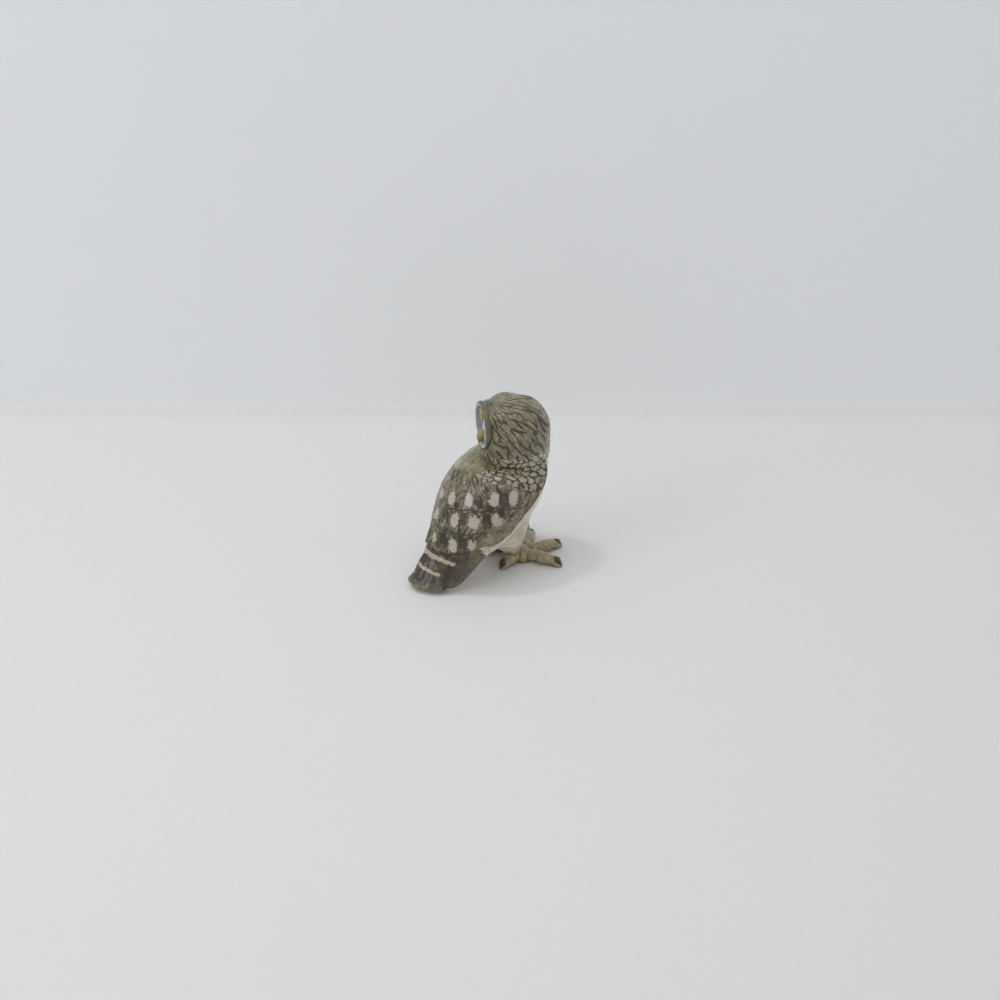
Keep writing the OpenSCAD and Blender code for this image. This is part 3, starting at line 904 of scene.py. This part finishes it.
@dataclass
class Breast:
    """Breast and belly: the whole torso above the tail's seam, bare white glaze."""
    plumage: Plumage
    rows: int = 200
    cols: int = 300
    ends: float = 0.665

    def build(self, material: bpy.types.Material) -> bpy.types.Object:
        """Builds the breast with a soft pinched relief.

        Args:
            material: White glaze.

        Returns:
            The breast.
        """
        torso = self.plumage.torso
        s, turn = ring_grid(self.rows, self.cols, 0.0, self.ends)
        phi = np.degrees(turn) - 180
        flat = torso.point(s, phi)
        height = 0.05 * Ripple(21, 5.0)(flat) + 0.012 * Ripple(22, 1.2)(flat)
        hidden = 1 - smooth(-8, 0, np.abs(phi) - torso.flank_at(s))
        sunk = 0.2 * hidden + 0.4 * smooth(0.6, self.ends, s)
        grid = torso.point(s, phi, height * smooth(0, 0.06, s) - sunk)
        stain = smooth(0.45, 0.66, s) * 0.7 + 0.3 * bump(np.abs(phi) - torso.flank_at(s), 0, 4)
        piece = make_mesh("breast", grid, {"stain": np.clip(stain, 0, 1)}, material)
        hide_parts("body")
        return piece


@dataclass
class Tail:
    """The tail: a flattened blade with a rounded end that rests on the ground."""
    plumage: Plumage
    rows: int = 190
    cols: int = 320
    starts: float = 0.6

    def build(self, material: bpy.types.Material) -> bpy.types.Object:
        """Builds the tail, with long quill grooves under its glaze and painted shade along them.

        Args:
            material: The feathers' glaze.

        Returns:
            The tail.
        """
        torso = self.plumage.torso
        t, turn = ring_grid(self.rows, self.cols)
        phi = np.degrees(turn) - 180
        s = self.starts + (1 - self.starts) * t
        flat = torso.point(s, phi)
        height, _ = self.plumage.relief(s, phi, flat)
        x = np.sin(np.radians(phi))
        quills = np.abs(np.cos(x * 9.5)) ** 0.5 * 0.06 * smooth(0.74, 0.82, s)
        beneath = smooth(92, 112, np.abs(phi))
        height = mix(height + quills, 0.03 * self.plumage.wobble(flat), beneath) - 0.12
        end = smooth(0.965, 1.0, t)
        grid = torso.point(s, phi, height - 0.55 * end ** 2 - 0.3 * (1 - smooth(0, 0.05, t)))
        masks = self.plumage.paint(s, phi, flat)
        masks = {k: v if k == "flow" else v * (1 - beneath) for k, v in masks.items()}
        # Painted shade along the quill grooves, where the relief dips
        masks["line"] = np.clip(masks["line"] + 0.25 * (1 - smooth(0.1, 0.3, np.abs(np.cos(x * 9.5))))
                                * smooth(0.76, 0.84, s) * (1 - masks["white"]) * (1 - beneath), 0, 1)
        masks["belly"] = beneath * 0.85
        piece = make_mesh("tail_feathers", grid, masks, material)
        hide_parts("tail")
        return piece


@dataclass
class Head:
    """The hooded head, turned over the left shoulder, with brushed streaks and a flat seat for the face."""
    plumage: Plumage
    height: float
    radius: float = 7.3
    turn: float = 148.5
    disc_r: float = 5.0
    chin: float = 2.2
    seat: float = 5.986
    form: tuple = ((0, 0.9863, 0), (0.16, 1, 0.3), (0.36, 1.01, 0.8), (0.56, 0.975, 1), (0.74, 0.83, 1),
                   (0.88, 0.62, 1), (0.97, 0.35, 1), (1, 0.004, 1))
    brow: float = 1.18
    hood: float = 0.13
    sink: float = 0.02
    streaks: int = 28
    rows: int = 200
    cols: int = 420

    @property
    def face_z(self) -> float:
        """Height of the disc's middle above the neck seam."""
        return self.chin + self.disc_r

    def to_world(self, p: Array) -> Array:
        """Turns points from the head's own axes (x sideways, y out of the face, z above the neck)."""
        torso, a = self.plumage.torso, np.radians(180 + self.turn)
        x = p[..., 0] * np.cos(a) - p[..., 1] * np.sin(a)
        y = p[..., 0] * np.sin(a) + p[..., 1] * np.cos(a) + torso.neck_back
        return np.stack([x, y, p[..., 2] + torso.neck_h], -1) * torso.scale + torso.middle

    def surface(self) -> Array:
        """Smooth head: rings of the form's radius, longer in front, fuller at the brow, cut by the seat."""
        t, a = ring_grid(self.rows, self.cols)
        form = along(self.form, t ** 0.9)
        z = self.height * np.minimum(form[..., 0], 1.0) * (1 - self.sink * smooth(0.5, 1.0, form[..., 0]))
        front = smooth(-0.35, 0.75, np.cos(a))
        radius = self.radius * (form[..., 1] + self.hood * front * bump(form[..., 0], 0.87, 0.11))
        stretch = np.where(np.cos(a) > 0, 1 + (self.brow - 1) * form[..., 2], 1.0)
        x, y = radius * np.sin(a), radius * np.cos(a) * stretch
        beyond = np.maximum(np.hypot(x, z - self.face_z) - self.disc_r + 0.1, 0)
        limit = self.seat + 1.5 * beyond
        soft = limit - 0.35 * np.log1p(np.exp(np.clip((limit - y) / 0.35, -30, 30)))
        y = np.where(y > limit - 3, soft, y)
        return np.stack([x, y, z], -1)

    def flow(self, own: Array) -> tuple[Array, Array]:
        """Coordinates along and across the streaks, which run from the face over the crown to the nape.

        On the unit sphere round the head's middle, the streaks are circles through a source in the
        face and a sink in the neck. Along them goes log(distance to source / distance to sink), and
        across them goes the angle of the plane through source, sink and point.

        Args:
            own: Points in the head's own axes.

        Returns:
            Along and across.
        """
        n = own - np.array([0, 0, self.face_z])
        n = n / np.linalg.norm(n, axis=-1, keepdims=True)
        source, sink = np.array([0, 0.80, 0.60]), np.array([0, -0.45, -0.90])
        source /= np.linalg.norm(source)
        sink /= np.linalg.norm(sink)
        to, fro = np.linalg.norm(n - source, axis=-1), np.linalg.norm(n - sink, axis=-1)
        chord = (source - sink) / np.linalg.norm(source - sink)
        out = (source + sink) / np.linalg.norm(source + sink)
        off = n - (source + sink) / 2
        across = np.arctan2(off @ np.cross(chord, out), -off @ out)
        return np.log(np.maximum(to, 1e-3) / np.maximum(fro, 1e-3)), across

    def strokes(self, own: Array, p: Array) -> tuple[Array, Array]:
        """Brushed streaks: two slanting families that cross into long diamonds, and fine ones between.

        Args:
            own: Points in the head's own axes.
            p: The same points in the world, for the noise.

        Returns:
            Masks of the bold and of the fine strokes.
        """
        down, across = self.flow(own)
        w1, w2, w3 = Ripple(31, 3.2), Ripple(32, 2.6), Ripple(33, 3.0)
        q = across * self.streaks / (2 * np.pi) + 0.16 * w1(p * 0.5)
        bold = np.zeros(down.shape)
        for way, gate in ((1, w2(p)), (-1, w3(p))):
            line = np.abs(((q + way * 0.85 * down + 0.09 * w2(p * 0.6)) % 1.0) - 0.5)
            width = np.clip(0.075 + 0.045 * gate, 0.0, 0.16)
            bold = np.maximum(bold, (1 - smooth(width, width + 0.09, line)) * smooth(-1.0, -0.2, gate))
        thin = np.abs(((q * 3.3 + 0.2 * w1(p) + 0.5 * down) % 1.0) - 0.5)
        fine = (1 - smooth(0.04, 0.16, thin)) * smooth(-0.3, 0.5, w3(p[..., ::-1]))
        return bold, fine

    def build(self, material: bpy.types.Material) -> bpy.types.Object:
        """Builds the head.

        Args:
            material: The head's glaze.

        Returns:
            The head.
        """
        own = self.surface()
        p = self.to_world(own)
        torso = self.plumage.torso
        off = (p - torso.middle) / torso.scale - np.array([0, torso.neck_back, 0])
        phi = (np.degrees(np.arctan2(off[..., 0], off[..., 1])) + 180) % 360 - 180
        share, dome, outline = self.plumage.ruff(phi, -own[..., 2], p)
        bold, fine = self.strokes(own, p)
        bold, fine = bold * (1 - share), fine * (1 - share)
        ring = np.hypot(own[..., 0], own[..., 2] - self.face_z)
        band = smooth(3.4, 4.6, own[..., 1])
        lump = 0.13 * Ripple(35, 4.5)(p) * smooth(0, 2, own[..., 2])
        height = self.plumage.ruff_depth * dome - 0.075 * bold - 0.02 * fine + lump
        groove = 0.25 * bump(own[..., 1], 4.4, 0.8) * smooth(4.2, 5.0, ring)
        grid = push(p, (height - groove) * smooth(0.0, 0.12, self.height - own[..., 2]))
        down, across = self.flow(own)
        # The crown gets less hatching, a painted highlight on top of the head, and a little more olive
        crown = smooth(0.75, 0.95, own[..., 2] / self.height)
        patches = smooth(-0.2, 1.2, self.plumage.broad(p))
        deep = smooth(0.2, 1.2, self.plumage.broad(p * 2))
        masks = {"pale": np.clip(0.6 * share * smooth(0.1, 0.45, dome) + 0.35 * patches, 0, 1),
                 "line": np.clip(outline + 0.95 * bold + 0.6 * fine, 0, 1), "dark": 0.5 * bold * deep,
                 "olive": np.clip(0.3 + 0.9 * band + 0.3 * crown, 0, 1),
                 "hatch": np.clip(0.9 - share + 0.3 * band - 0.4 * crown, 0, 1),
                 **{k: 0.0 * share for k in ("grey", "white", "rust", "belly")},
                 "flow": np.stack([across * 10.0, down * 10.0, 0 * down], -1)}
        piece = make_mesh("head_hood", grid, masks, material)
        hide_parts("head")
        return piece


@dataclass
class Face:
    """The round facial disc with its rim, two domed eyes and a hooked beak."""
    head: Head
    eye_r: float = 1.3
    eye_out: float = 2.2
    eye_up: float = 1.3
    beak_len: float = 1.5
    beak_w: float = 1.9
    drop: float = 2.3

    def place(self, x: Array, up: Array, out: Array) -> Array:
        """World points of places on the face: sideways, above the disc's middle, out of the seat."""
        return self.head.to_world(np.stack([x, self.head.seat + out, up + self.head.face_z], -1))

    def disc(self, material: bpy.types.Material) -> bpy.types.Object:
        """Builds the disc: a profile from the back's middle over the rim to the dish, turned about its axis.

        Args:
            material: The face's glaze.

        Returns:
            The disc.
        """
        profile = ((0, -0.5), (2.3, -0.5), (4.2, -0.4), (4.75, -0.1), (4.97, 0.25), (5.0, 0.6), (4.92, 0.92),
                   (4.7, 1.14), (4.45, 1.1), (4.2, 0.86), (3.9, 0.66), (3.1, 0.52), (2.1, 0.5), (1.0, 0.54),
                   (0, 0.56))
        v, a = ring_grid(210, 300)
        shape = along(profile, v)
        ring, out = np.maximum(shape[..., 0], 0.0), shape[..., 1]
        x, up = ring * np.sin(a), ring * np.cos(a)
        inside = smooth(0.62, 0.72, v)
        eyes = [np.hypot(x - side * self.eye_out, up - self.eye_up) for side in (-1, 1)]
        near = np.minimum(*eyes)
        bowl = 0.3 * bump(near, 0, 2.1)
        barbs = 0.05 * np.cos(a * 46) * smooth(1.5, 3.0, ring) * inside
        knobs = 0.04 * np.cos(a * 30 + 1.2 * np.sin(a * 3)) * (1 - inside) * smooth(4.3, 4.7, ring)
        grid = self.place(x, up, out - bowl * inside + (barbs + knobs) * smooth(0.3, 0.5, v))
        wobble = Ripple(41, 1.6, 30)(grid)
        rings = 1 - smooth(0.12, 0.42, np.abs(((near / 0.78 + 0.1 * wobble) % 1.0) - 0.5))
        rings = rings * smooth(1.2, 1.7, near) * inside * (1 - smooth(3.8, 4.1, ring))
        cross = np.abs(x) < 0.6 + 0.45 * np.abs(up - 0.4)
        brows = cross * smooth(1.4, 1.6, near) * (1 - smooth(2.6, 3.4, np.abs(up - 0.2))) * inside
        masks = {"rim": 1 - smooth(0.46, 0.52, v), "ring": rings * (1 - brows),
                 "white": np.clip(brows + 0.9 * bump(v, 0.545, 0.04), 0, 1),
                 "dark": np.clip(0.9 * bump(near, 1.35, 0.25) * inside + (1 - inside)
                                 * bump(a, 0.35, 0.3) * smooth(4.5, 4.8, ring), 0, 1),
                 "flow": np.stack([a * 4, ring, 0 * a], -1)}
        piece = make_mesh("face_disc", grid, masks, material)
        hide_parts("facial_disc")
        return piece

    def eye(self, side: Side, material: bpy.types.Material) -> bpy.types.Object:
        """Builds an eye: a dome with a raised lid ring and a black pupil.

        Args:
            side: The owl's own side.
            material: The eyes' glaze.

        Returns:
            The eye.
        """
        v, a = ring_grid(60, 80, 0.001)
        angle = v * np.pi * 0.56
        ring = self.eye_r * np.sin(angle) * (1 - 0.06 * smooth(0.85, 1, v))
        lid = 0.07 * bump(v, 0.86, 0.06)
        out = 0.34 + (self.eye_r * 0.38) * np.cos(angle)
        way = -side.value
        x = way * self.eye_out + (ring + lid) * np.sin(a)
        grid = self.place(x, self.eye_up + (ring + lid) * np.cos(a), out + lid)
        masks = {"shade": smooth(0.4, 0.8, v), "black": (1 - smooth(0.40, 0.44, v)) + smooth(0.78, 0.82, v)}
        name = side.name.lower()
        piece = make_mesh(f"eye_{name}_dome", grid, masks, material)
        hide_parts(f"eye_{name}")
        return piece

    def beak(self, material: bpy.types.Material) -> bpy.types.Object:
        """Builds the beak: oval sections along a small hook that starts below the eyes and bends down.

        Args:
            material: The beak's glaze.

        Returns:
            The beak.
        """
        v, a = ring_grid(60, 48)
        path = along(((0.1, 0.3), (0.15, 0.9), (0.0, 1.5), (-0.5, 2.05), (-1.1, 2.3), (-1.75, 2.25)), v)
        size = along(((1.0, 1.1), (0.98, 1.1), (0.95, 1.05), (0.82, 0.9), (0.6, 0.62), (0.12, 0.12)), v)
        bend = np.radians(along((0, 14, 34, 58, 76, 90), v)[..., 0])
        x = size[..., 0] * self.beak_w / 2.1 * np.sin(a)
        y = size[..., 1] * np.cos(a)
        up, out = path[..., 0] + y * np.cos(bend), path[..., 1] * self.beak_len / 2.7 + y * np.sin(bend)
        nostril = 0.05 * bump(v, 0.35, 0.07) * bump(np.abs(np.sin(a)), 0.9, 0.3)
        grid = self.place(x * (1 - nostril), up - self.drop, np.minimum(out, 3.15))
        piece = make_mesh("beak_hook", grid, {"shade": smooth(0.55, 0.95, v), "black": 0 * v}, material)
        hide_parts("beak")
        return piece


@dataclass
class Leg:
    """A feathered leg: a loft from an oval patch of the belly down to the ankle."""
    side: Side
    torso: Torso
    start_s: float = 0.43
    start_phi: float = 130.0
    reach_s: float = 0.12
    reach_phi: float = 20.0
    ankle_r: float = 1.8
    shift: tuple = (1.5, 1.4)
    over: float = 0.12

    def ankle(self) -> Array:
        """Middle of the ankle, from the foot's node."""
        low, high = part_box(f"foot_{self.side.name.lower()}")
        return np.array([(low.x + high.x) / 2, (low.y + high.y) / 2, high.z]) / MM

    def build(self, material: bpy.types.Material) -> bpy.types.Object:
        """Builds the leg: each point goes from the patch's oval to the ankle's ring.

        Both ends run on by the share called over: the upper end into the belly, the lower into the foot.

        Args:
            material: White glaze.

        Returns:
            The leg.
        """
        f, a = ring_grid(110, 150, -self.over, 1 + self.over)
        way, ankle = self.side.value, self.ankle()
        base = self.torso.point(self.start_s + self.reach_s * np.sin(a[0]),
                                way * (self.start_phi + self.reach_phi * np.cos(a[0])))
        heart = base.mean(0)
        turn = np.arctan2(base[:, 1] - heart[1], base[:, 0] - heart[0])
        scale = self.torso.scale
        foot = ankle[:2] + np.array([-way * self.shift[0], self.shift[1]]) * scale
        ring = foot + self.ankle_r * scale * np.stack([np.cos(turn), np.sin(turn)], -1)
        g = np.clip(f, 0, 1)
        narrow = (g ** 0.95)[..., None]
        flat = base[None, :, :2] * (1 - narrow) + ring[None] * narrow
        z = base[None, :, 2] * (1 - g) + (ankle[2] - 0.9) * g
        swell = 1 + 0.03 * np.sin(np.pi * g)
        centre = heart[:2] * (1 - narrow) + foot * narrow
        before = np.maximum(-f, 0)[..., None]
        flat = centre + (flat - centre) * swell[..., None] * (1 - 0.5 * before / self.over)
        inward = before * (self.torso.point(self.start_s, 0.0) - heart)
        grid = np.concatenate([flat, z[..., None]], -1) + inward
        grid[..., 2] -= np.maximum(f - 1, 0) * 4
        tufts = 0.05 * Ripple(51, 1.3)(grid * np.array([1, 1, 0.4])) + 0.06 * Ripple(52, 3.0)(grid)
        grid = push(grid, tufts * smooth(0.0, 0.15, f))
        name = self.side.name.lower()
        piece = make_mesh(f"leg_{name}_tufts", grid, {"stain": smooth(0.7, 1.05, f) * 0.9}, material)
        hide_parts(f"leg_{name}")
        return piece


@dataclass(frozen=True)
class ToePlan:
    """One toe: its name, heading from straight ahead to the owl's left in degrees, and length in mm."""
    name: str
    heading: float
    length: float


@dataclass
class Foot:
    """A foot: a low palm under the ankle and four toes with painted claws."""
    leg: Leg
    toes: tuple
    toe_d: float = 2.5
    palm_r: float = 2.4

    def palm(self, material: bpy.types.Material) -> bpy.types.Object:
        """Builds the palm: a low dome turned about the ankle, with painted shade between the toes and round
        its lower part.

        Args:
            material: The toes' glaze.

        Returns:
            The palm.
        """
        v, a = ring_grid(70, 140)
        k = self.palm_r / 2.4  # the profile is drawn for a palm of 2.4 mm radius
        shape = along(((0, 0), (1.2, 0), (2.05, 0), (2.36, 0.3), (2.4, 0.9), (2.28, 1.5), (2.0, 2.1),
                       (1.5, 2.55), (0.8, 2.8), (0, 2.85)), v) * k * self.leg.torso.scale
        ankle = self.leg.ankle()
        x, y = shape[..., 0] * np.sin(a), -shape[..., 0] * np.cos(a)
        grid = np.stack([ankle[0] + x, ankle[1] + y, np.maximum(shape[..., 1], 0)], -1)
        lumps = 0.08 * Ripple(61, 2.2)(grid)
        grid = push(grid, lumps * smooth(0.25, 0.45, v))
        grid[..., 2] = np.maximum(grid[..., 2], 0)
        # Painted shade: darker between the toes and low round the palm, where shade falls
        fold_shades = np.zeros(v.shape)
        for toe in self.toes:
            fold_shades += bump(np.abs((a - np.radians(toe.heading) + np.pi) % (2 * np.pi) - np.pi), 0.62, 0.16)
        fold_shade = np.clip(fold_shades * 0.8 * (1 - smooth(0.75, 0.95, v)) + (1 - smooth(0.3, 0.5, v)), 0, 1)
        name = self.leg.side.name.lower()
        piece = make_mesh(f"foot_{name}_palm", grid, {"fold_shade": fold_shade, "claw": 0 * v}, material)
        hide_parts(f"foot_{name}")
        return piece

    def toe(self, plan: ToePlan, material: bpy.types.Material) -> bpy.types.Object:
        """Builds a toe: round sections along its heading, with knuckles, a flat sole and a claw.

        Args:
            plan: The toe's name, heading and length.
            material: The toes' glaze.

        Returns:
            The toe.
        """
        v, a = ring_grid(130, 72)
        d, scale = self.toe_d, self.leg.torso.scale
        form = along(((0.10, 0.34, 0.30), (0.18, 0.46, 0.46), (0.34, 0.5, 0.52), (0.5, 0.49, 0.5),
                      (0.64, 0.47, 0.47), (0.76, 0.44, 0.46), (0.87, 0.38, 0.40), (0.95, 0.26, 0.28),
                      (0.995, 0.1, 0.10), (1.0, 0.06, 0.02)), v)
        out, middle, radius = form[..., 0] * plan.length, form[..., 1] * d, form[..., 2] * d
        knuckles = 1 + 0.07 * np.cos((form[..., 0] - 0.2) * 2 * np.pi * 2.6) * smooth(0.15, 0.3, form[..., 0])
        radius = radius * knuckles
        x, up = radius * np.sin(a), middle + radius * np.cos(a)
        claw_top = bump(form[..., 0], 0.9, 0.1) * np.clip(np.cos(a), 0, 1)
        up = up + 0.12 * claw_top
        heading = np.radians(plan.heading)
        ankle = self.leg.ankle()
        forward = np.array([np.sin(heading), -np.cos(heading)])
        side = np.array([np.cos(heading), np.sin(heading)])
        flat = ankle[:2] + (out[..., None] * forward + x[..., None] * side) * scale
        grid = np.concatenate([flat, (up * scale)[..., None]], -1)
        lumps = 0.05 * Ripple(71 + len(plan.name), 1.4)(grid)
        grid = push(grid, lumps * smooth(0.1, 0.3, v) * (1 - smooth(0.8, 0.95, v)))
        grid[..., 2] = np.maximum(grid[..., 2], 0.0)
        angle = np.degrees(np.abs((a + np.pi) % (2 * np.pi) - np.pi))
        claw = 1 - smooth(0.8, 1.1, np.hypot((form[..., 0] - 0.93) / 0.125, angle / 78))
        # Painted shade: darker at the toe's root, in the knuckle creases and on the underside
        crease = bump(knuckles, 0.94, 0.02) * smooth(0.2, 0.35, form[..., 0])
        root = 0.8 * (1 - smooth(0.16, 0.34, form[..., 0]))
        fold_shade = np.clip(root + 0.45 * crease + smooth(95, 130, angle), 0, 1)
        name = f"toe_{self.leg.side.name.lower()}_{plan.name}"
        piece = make_mesh(f"{name}_claw", grid, {"fold_shade": fold_shade, "claw": claw}, material)
        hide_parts(name)
        return piece


# ---- studio ----

@dataclass
class Studio:
    """Pale table that curves up into a backdrop, soft tent light and the camera."""
    azimuth: float = 225.0
    elevation: float = 33.5
    aim: tuple = (3.086, 13.898)
    distance: float = 1.0
    lens: float = 173.5
    wall: float = 0.0585
    beam: float = 3.14

    def axes(self) -> tuple[Vector, Vector, Vector]:
        """Camera's right, up and viewing direction."""
        a, e = np.radians(self.azimuth), np.radians(self.elevation)
        ahead = Vector((-np.sin(a), np.cos(a), 0.0))
        right = Vector((np.cos(a), np.sin(a), 0.0))
        z = Vector((0, 0, 1))
        return right, ahead * np.sin(e) + z * np.cos(e), ahead * np.cos(e) - z * np.sin(e)

    def camera(self) -> None:
        """Creates the camera, which looks along the view axis at the aim, in mm right and up."""
        right, up, look = self.axes()
        data = bpy.data.cameras.new("camera")
        data.lens, data.sensor_width, data.clip_start, data.clip_end = self.lens, 36.0, 0.01, 10.0
        cam = bpy.data.objects.new("camera", data)
        aim = (right * self.aim[0] + up * self.aim[1]) * MM
        turn = Matrix((right, up, -look)).transposed().to_4x4()
        cam.matrix_world = Matrix.Translation(aim - look * self.distance) @ turn
        bpy.context.collection.objects.link(cam)
        bpy.context.scene.camera = cam

    def sweep(self) -> None:
        """Builds table and backdrop as one sheet: flat, a small quarter round, then upright."""
        right, up, look = self.axes()
        ahead = Vector((look.x, look.y, 0)).normalized()
        bend = 0.004
        turn = np.linspace(0, np.pi / 2, 16)
        start = self.wall - bend
        out = np.concatenate([[-0.6, 0.0, start], start + bend * np.sin(turn[1:]), [self.wall]])
        height = np.concatenate([[0, 0, 0], bend - bend * np.cos(turn[1:]), [0.7]])
        points = [ahead * float(o) + right * w + Vector((0, 0, float(h))) for w in (-0.9, 0.9)
                  for o, h in zip(out, height)]
        n = len(out)
        mesh = bpy.data.meshes.new("table_sweep")
        mesh.from_pydata([p[:] for p in points], [], [(i + 1, i, n + i, n + i + 1) for i in range(n - 1)])
        mesh.polygons.foreach_set("use_smooth", np.ones(n - 1, bool))
        box = Paintbox("table_paper")
        grain = box.noise(0.6, 3.0)
        colour = box.blend(grain, shade(224, 223, 222), shade(228, 227, 226))
        height = box.node("SeparateXYZ", {}, {0: box.place}, 2)
        colour = box.blend(box.ramp(height, 0.001, 0.004), colour, shade(243, 245, 247))
        paper = box.node("BsdfPrincipled", {}, {
            "Base Color": colour, "Roughness": 0.75, "Specular IOR Level": 0.2})
        box.tree.links.new(paper.socket, box.output.inputs[0])
        mesh.materials.append(box.material)
        sweep = bpy.data.objects.new("table_sweep", mesh)
        bpy.context.collection.objects.link(sweep)

    def lamp(self, name: str, right: float, up: float, near: float, size: float, power: float) -> None:
        """Adds a square soft lamp.

        Args:
            name: Name of the lamp.
            right: Distance to the camera's right of the figure in metres.
            up: Height above the ground in metres.
            near: Distance towards the camera in metres.
            size: Side of the lamp in metres.
            power: Power in watts.
        """
        r, _, look = self.axes()
        ahead = Vector((look.x, look.y, 0)).normalized()
        data = bpy.data.lights.new(name, "AREA")
        data.size, data.energy, data.spread = size, power, self.beam
        lamp = bpy.data.objects.new(name, data)
        lamp.location = r * right - ahead * near + Vector((0, 0, up))
        lamp.rotation_mode = "QUATERNION"
        lamp.rotation_quaternion = (lamp.location - Vector((0, 0, 0.018))).to_track_quat("Z", "Y")
        bpy.context.collection.objects.link(lamp)

    def build(self) -> None:
        """Sets camera, table, lamps, the tent's even light and the plain colour transform."""
        self.camera()
        self.sweep()
        world = bpy.data.worlds.new("tent")
        world.use_nodes = True
        world.node_tree.nodes["Background"].inputs[0].default_value = (0.97, 0.985, 1.0, 1)
        world.node_tree.nodes["Background"].inputs[1].default_value = 0.59
        bpy.context.scene.world = world
        self.lamp("tent_top", 0.0, 0.60, 0.0, 0.4, 0.55)
        for k, right in enumerate((-0.16, 0.0, 0.16)):
            self.lamp(f"pane_{k}", right, 0.52, -0.07 - 0.02 * k, 0.075, 0.9)
        self.lamp("tent_left", -0.5, 0.35, 0.25, 0.35, 0.6)
        bpy.context.scene.view_settings.view_transform = "Standard"


def main() -> None:
    """Builds the studio and the owl, piece by piece, and says what each one is."""
    logging.basicConfig(level=logging.INFO, format="%(name)s: %(message)s")
    Studio().build()
    torso = Torso.from_frame()
    plumage = Plumage(torso)
    low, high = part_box("head")
    head = Head(plumage, (high.z - low.z) / MM / torso.scale)
    face = Face(head)
    feathers = PlumageGlaze("plumage_glaze").build()
    tail_glaze = PlumageGlaze("tail_glaze", ground=shade(100, 87, 64), ground_dark=shade(54, 44, 30)).build()
    hood = PlumageGlaze("head_glaze", ground=shade(162, 151, 125), ground_dark=shade(112, 102, 78)).build()
    bare, skin = BareGlaze("white_glaze").build(), ToeGlaze("toe_glaze").build()
    eyes = SmallGlaze("eye_glaze", shade(214, 178, 60), shade(150, 104, 22)).build()
    horn = SmallGlaze("beak_glaze", shade(156, 140, 84), shade(120, 98, 44)).build()
    pieces = [(Breast(plumage).build(bare), "white_glaze"), (Tail(plumage).build(tail_glaze), "tail_glaze"),
              (head.build(hood), "head_glaze"), (face.disc(FaceGlaze("face_glaze").build()), "face_glaze"),
              (face.beak(horn), "beak_glaze")]
    plans = {Side.RIGHT: (ToePlan("outer", -67.5, 9.0), ToePlan("middle", -16.5, 9.5),
                          ToePlan("inner", 31.44, 9.2), ToePlan("hind", 180.0, 6.4)),
             Side.LEFT: (ToePlan("outer", 111.0, 9.0), ToePlan("middle", 60.0, 9.5),
                         ToePlan("inner", 9.0, 9.2), ToePlan("hind", 162.0, 6.4))}
    for side in Side:
        pieces.append((Wing(side, plumage).build(feathers), "plumage_glaze"))
        pieces.append((face.eye(side, eyes), "eye_glaze"))
        leg = Leg(side, torso)
        pieces.append((leg.build(bare), "white_glaze"))
        foot = Foot(leg, plans[side])
        pieces.append((foot.palm(skin), "toe_glaze"))
        pieces.extend((foot.toe(plan, skin), "toe_glaze") for plan in plans[side])
    for piece, slot in pieces:
        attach(piece, "root")
        log.info("%s: %d faces, %s", piece.name, len(piece.data.polygons), slot)


if __name__ == "__main__":
    main()
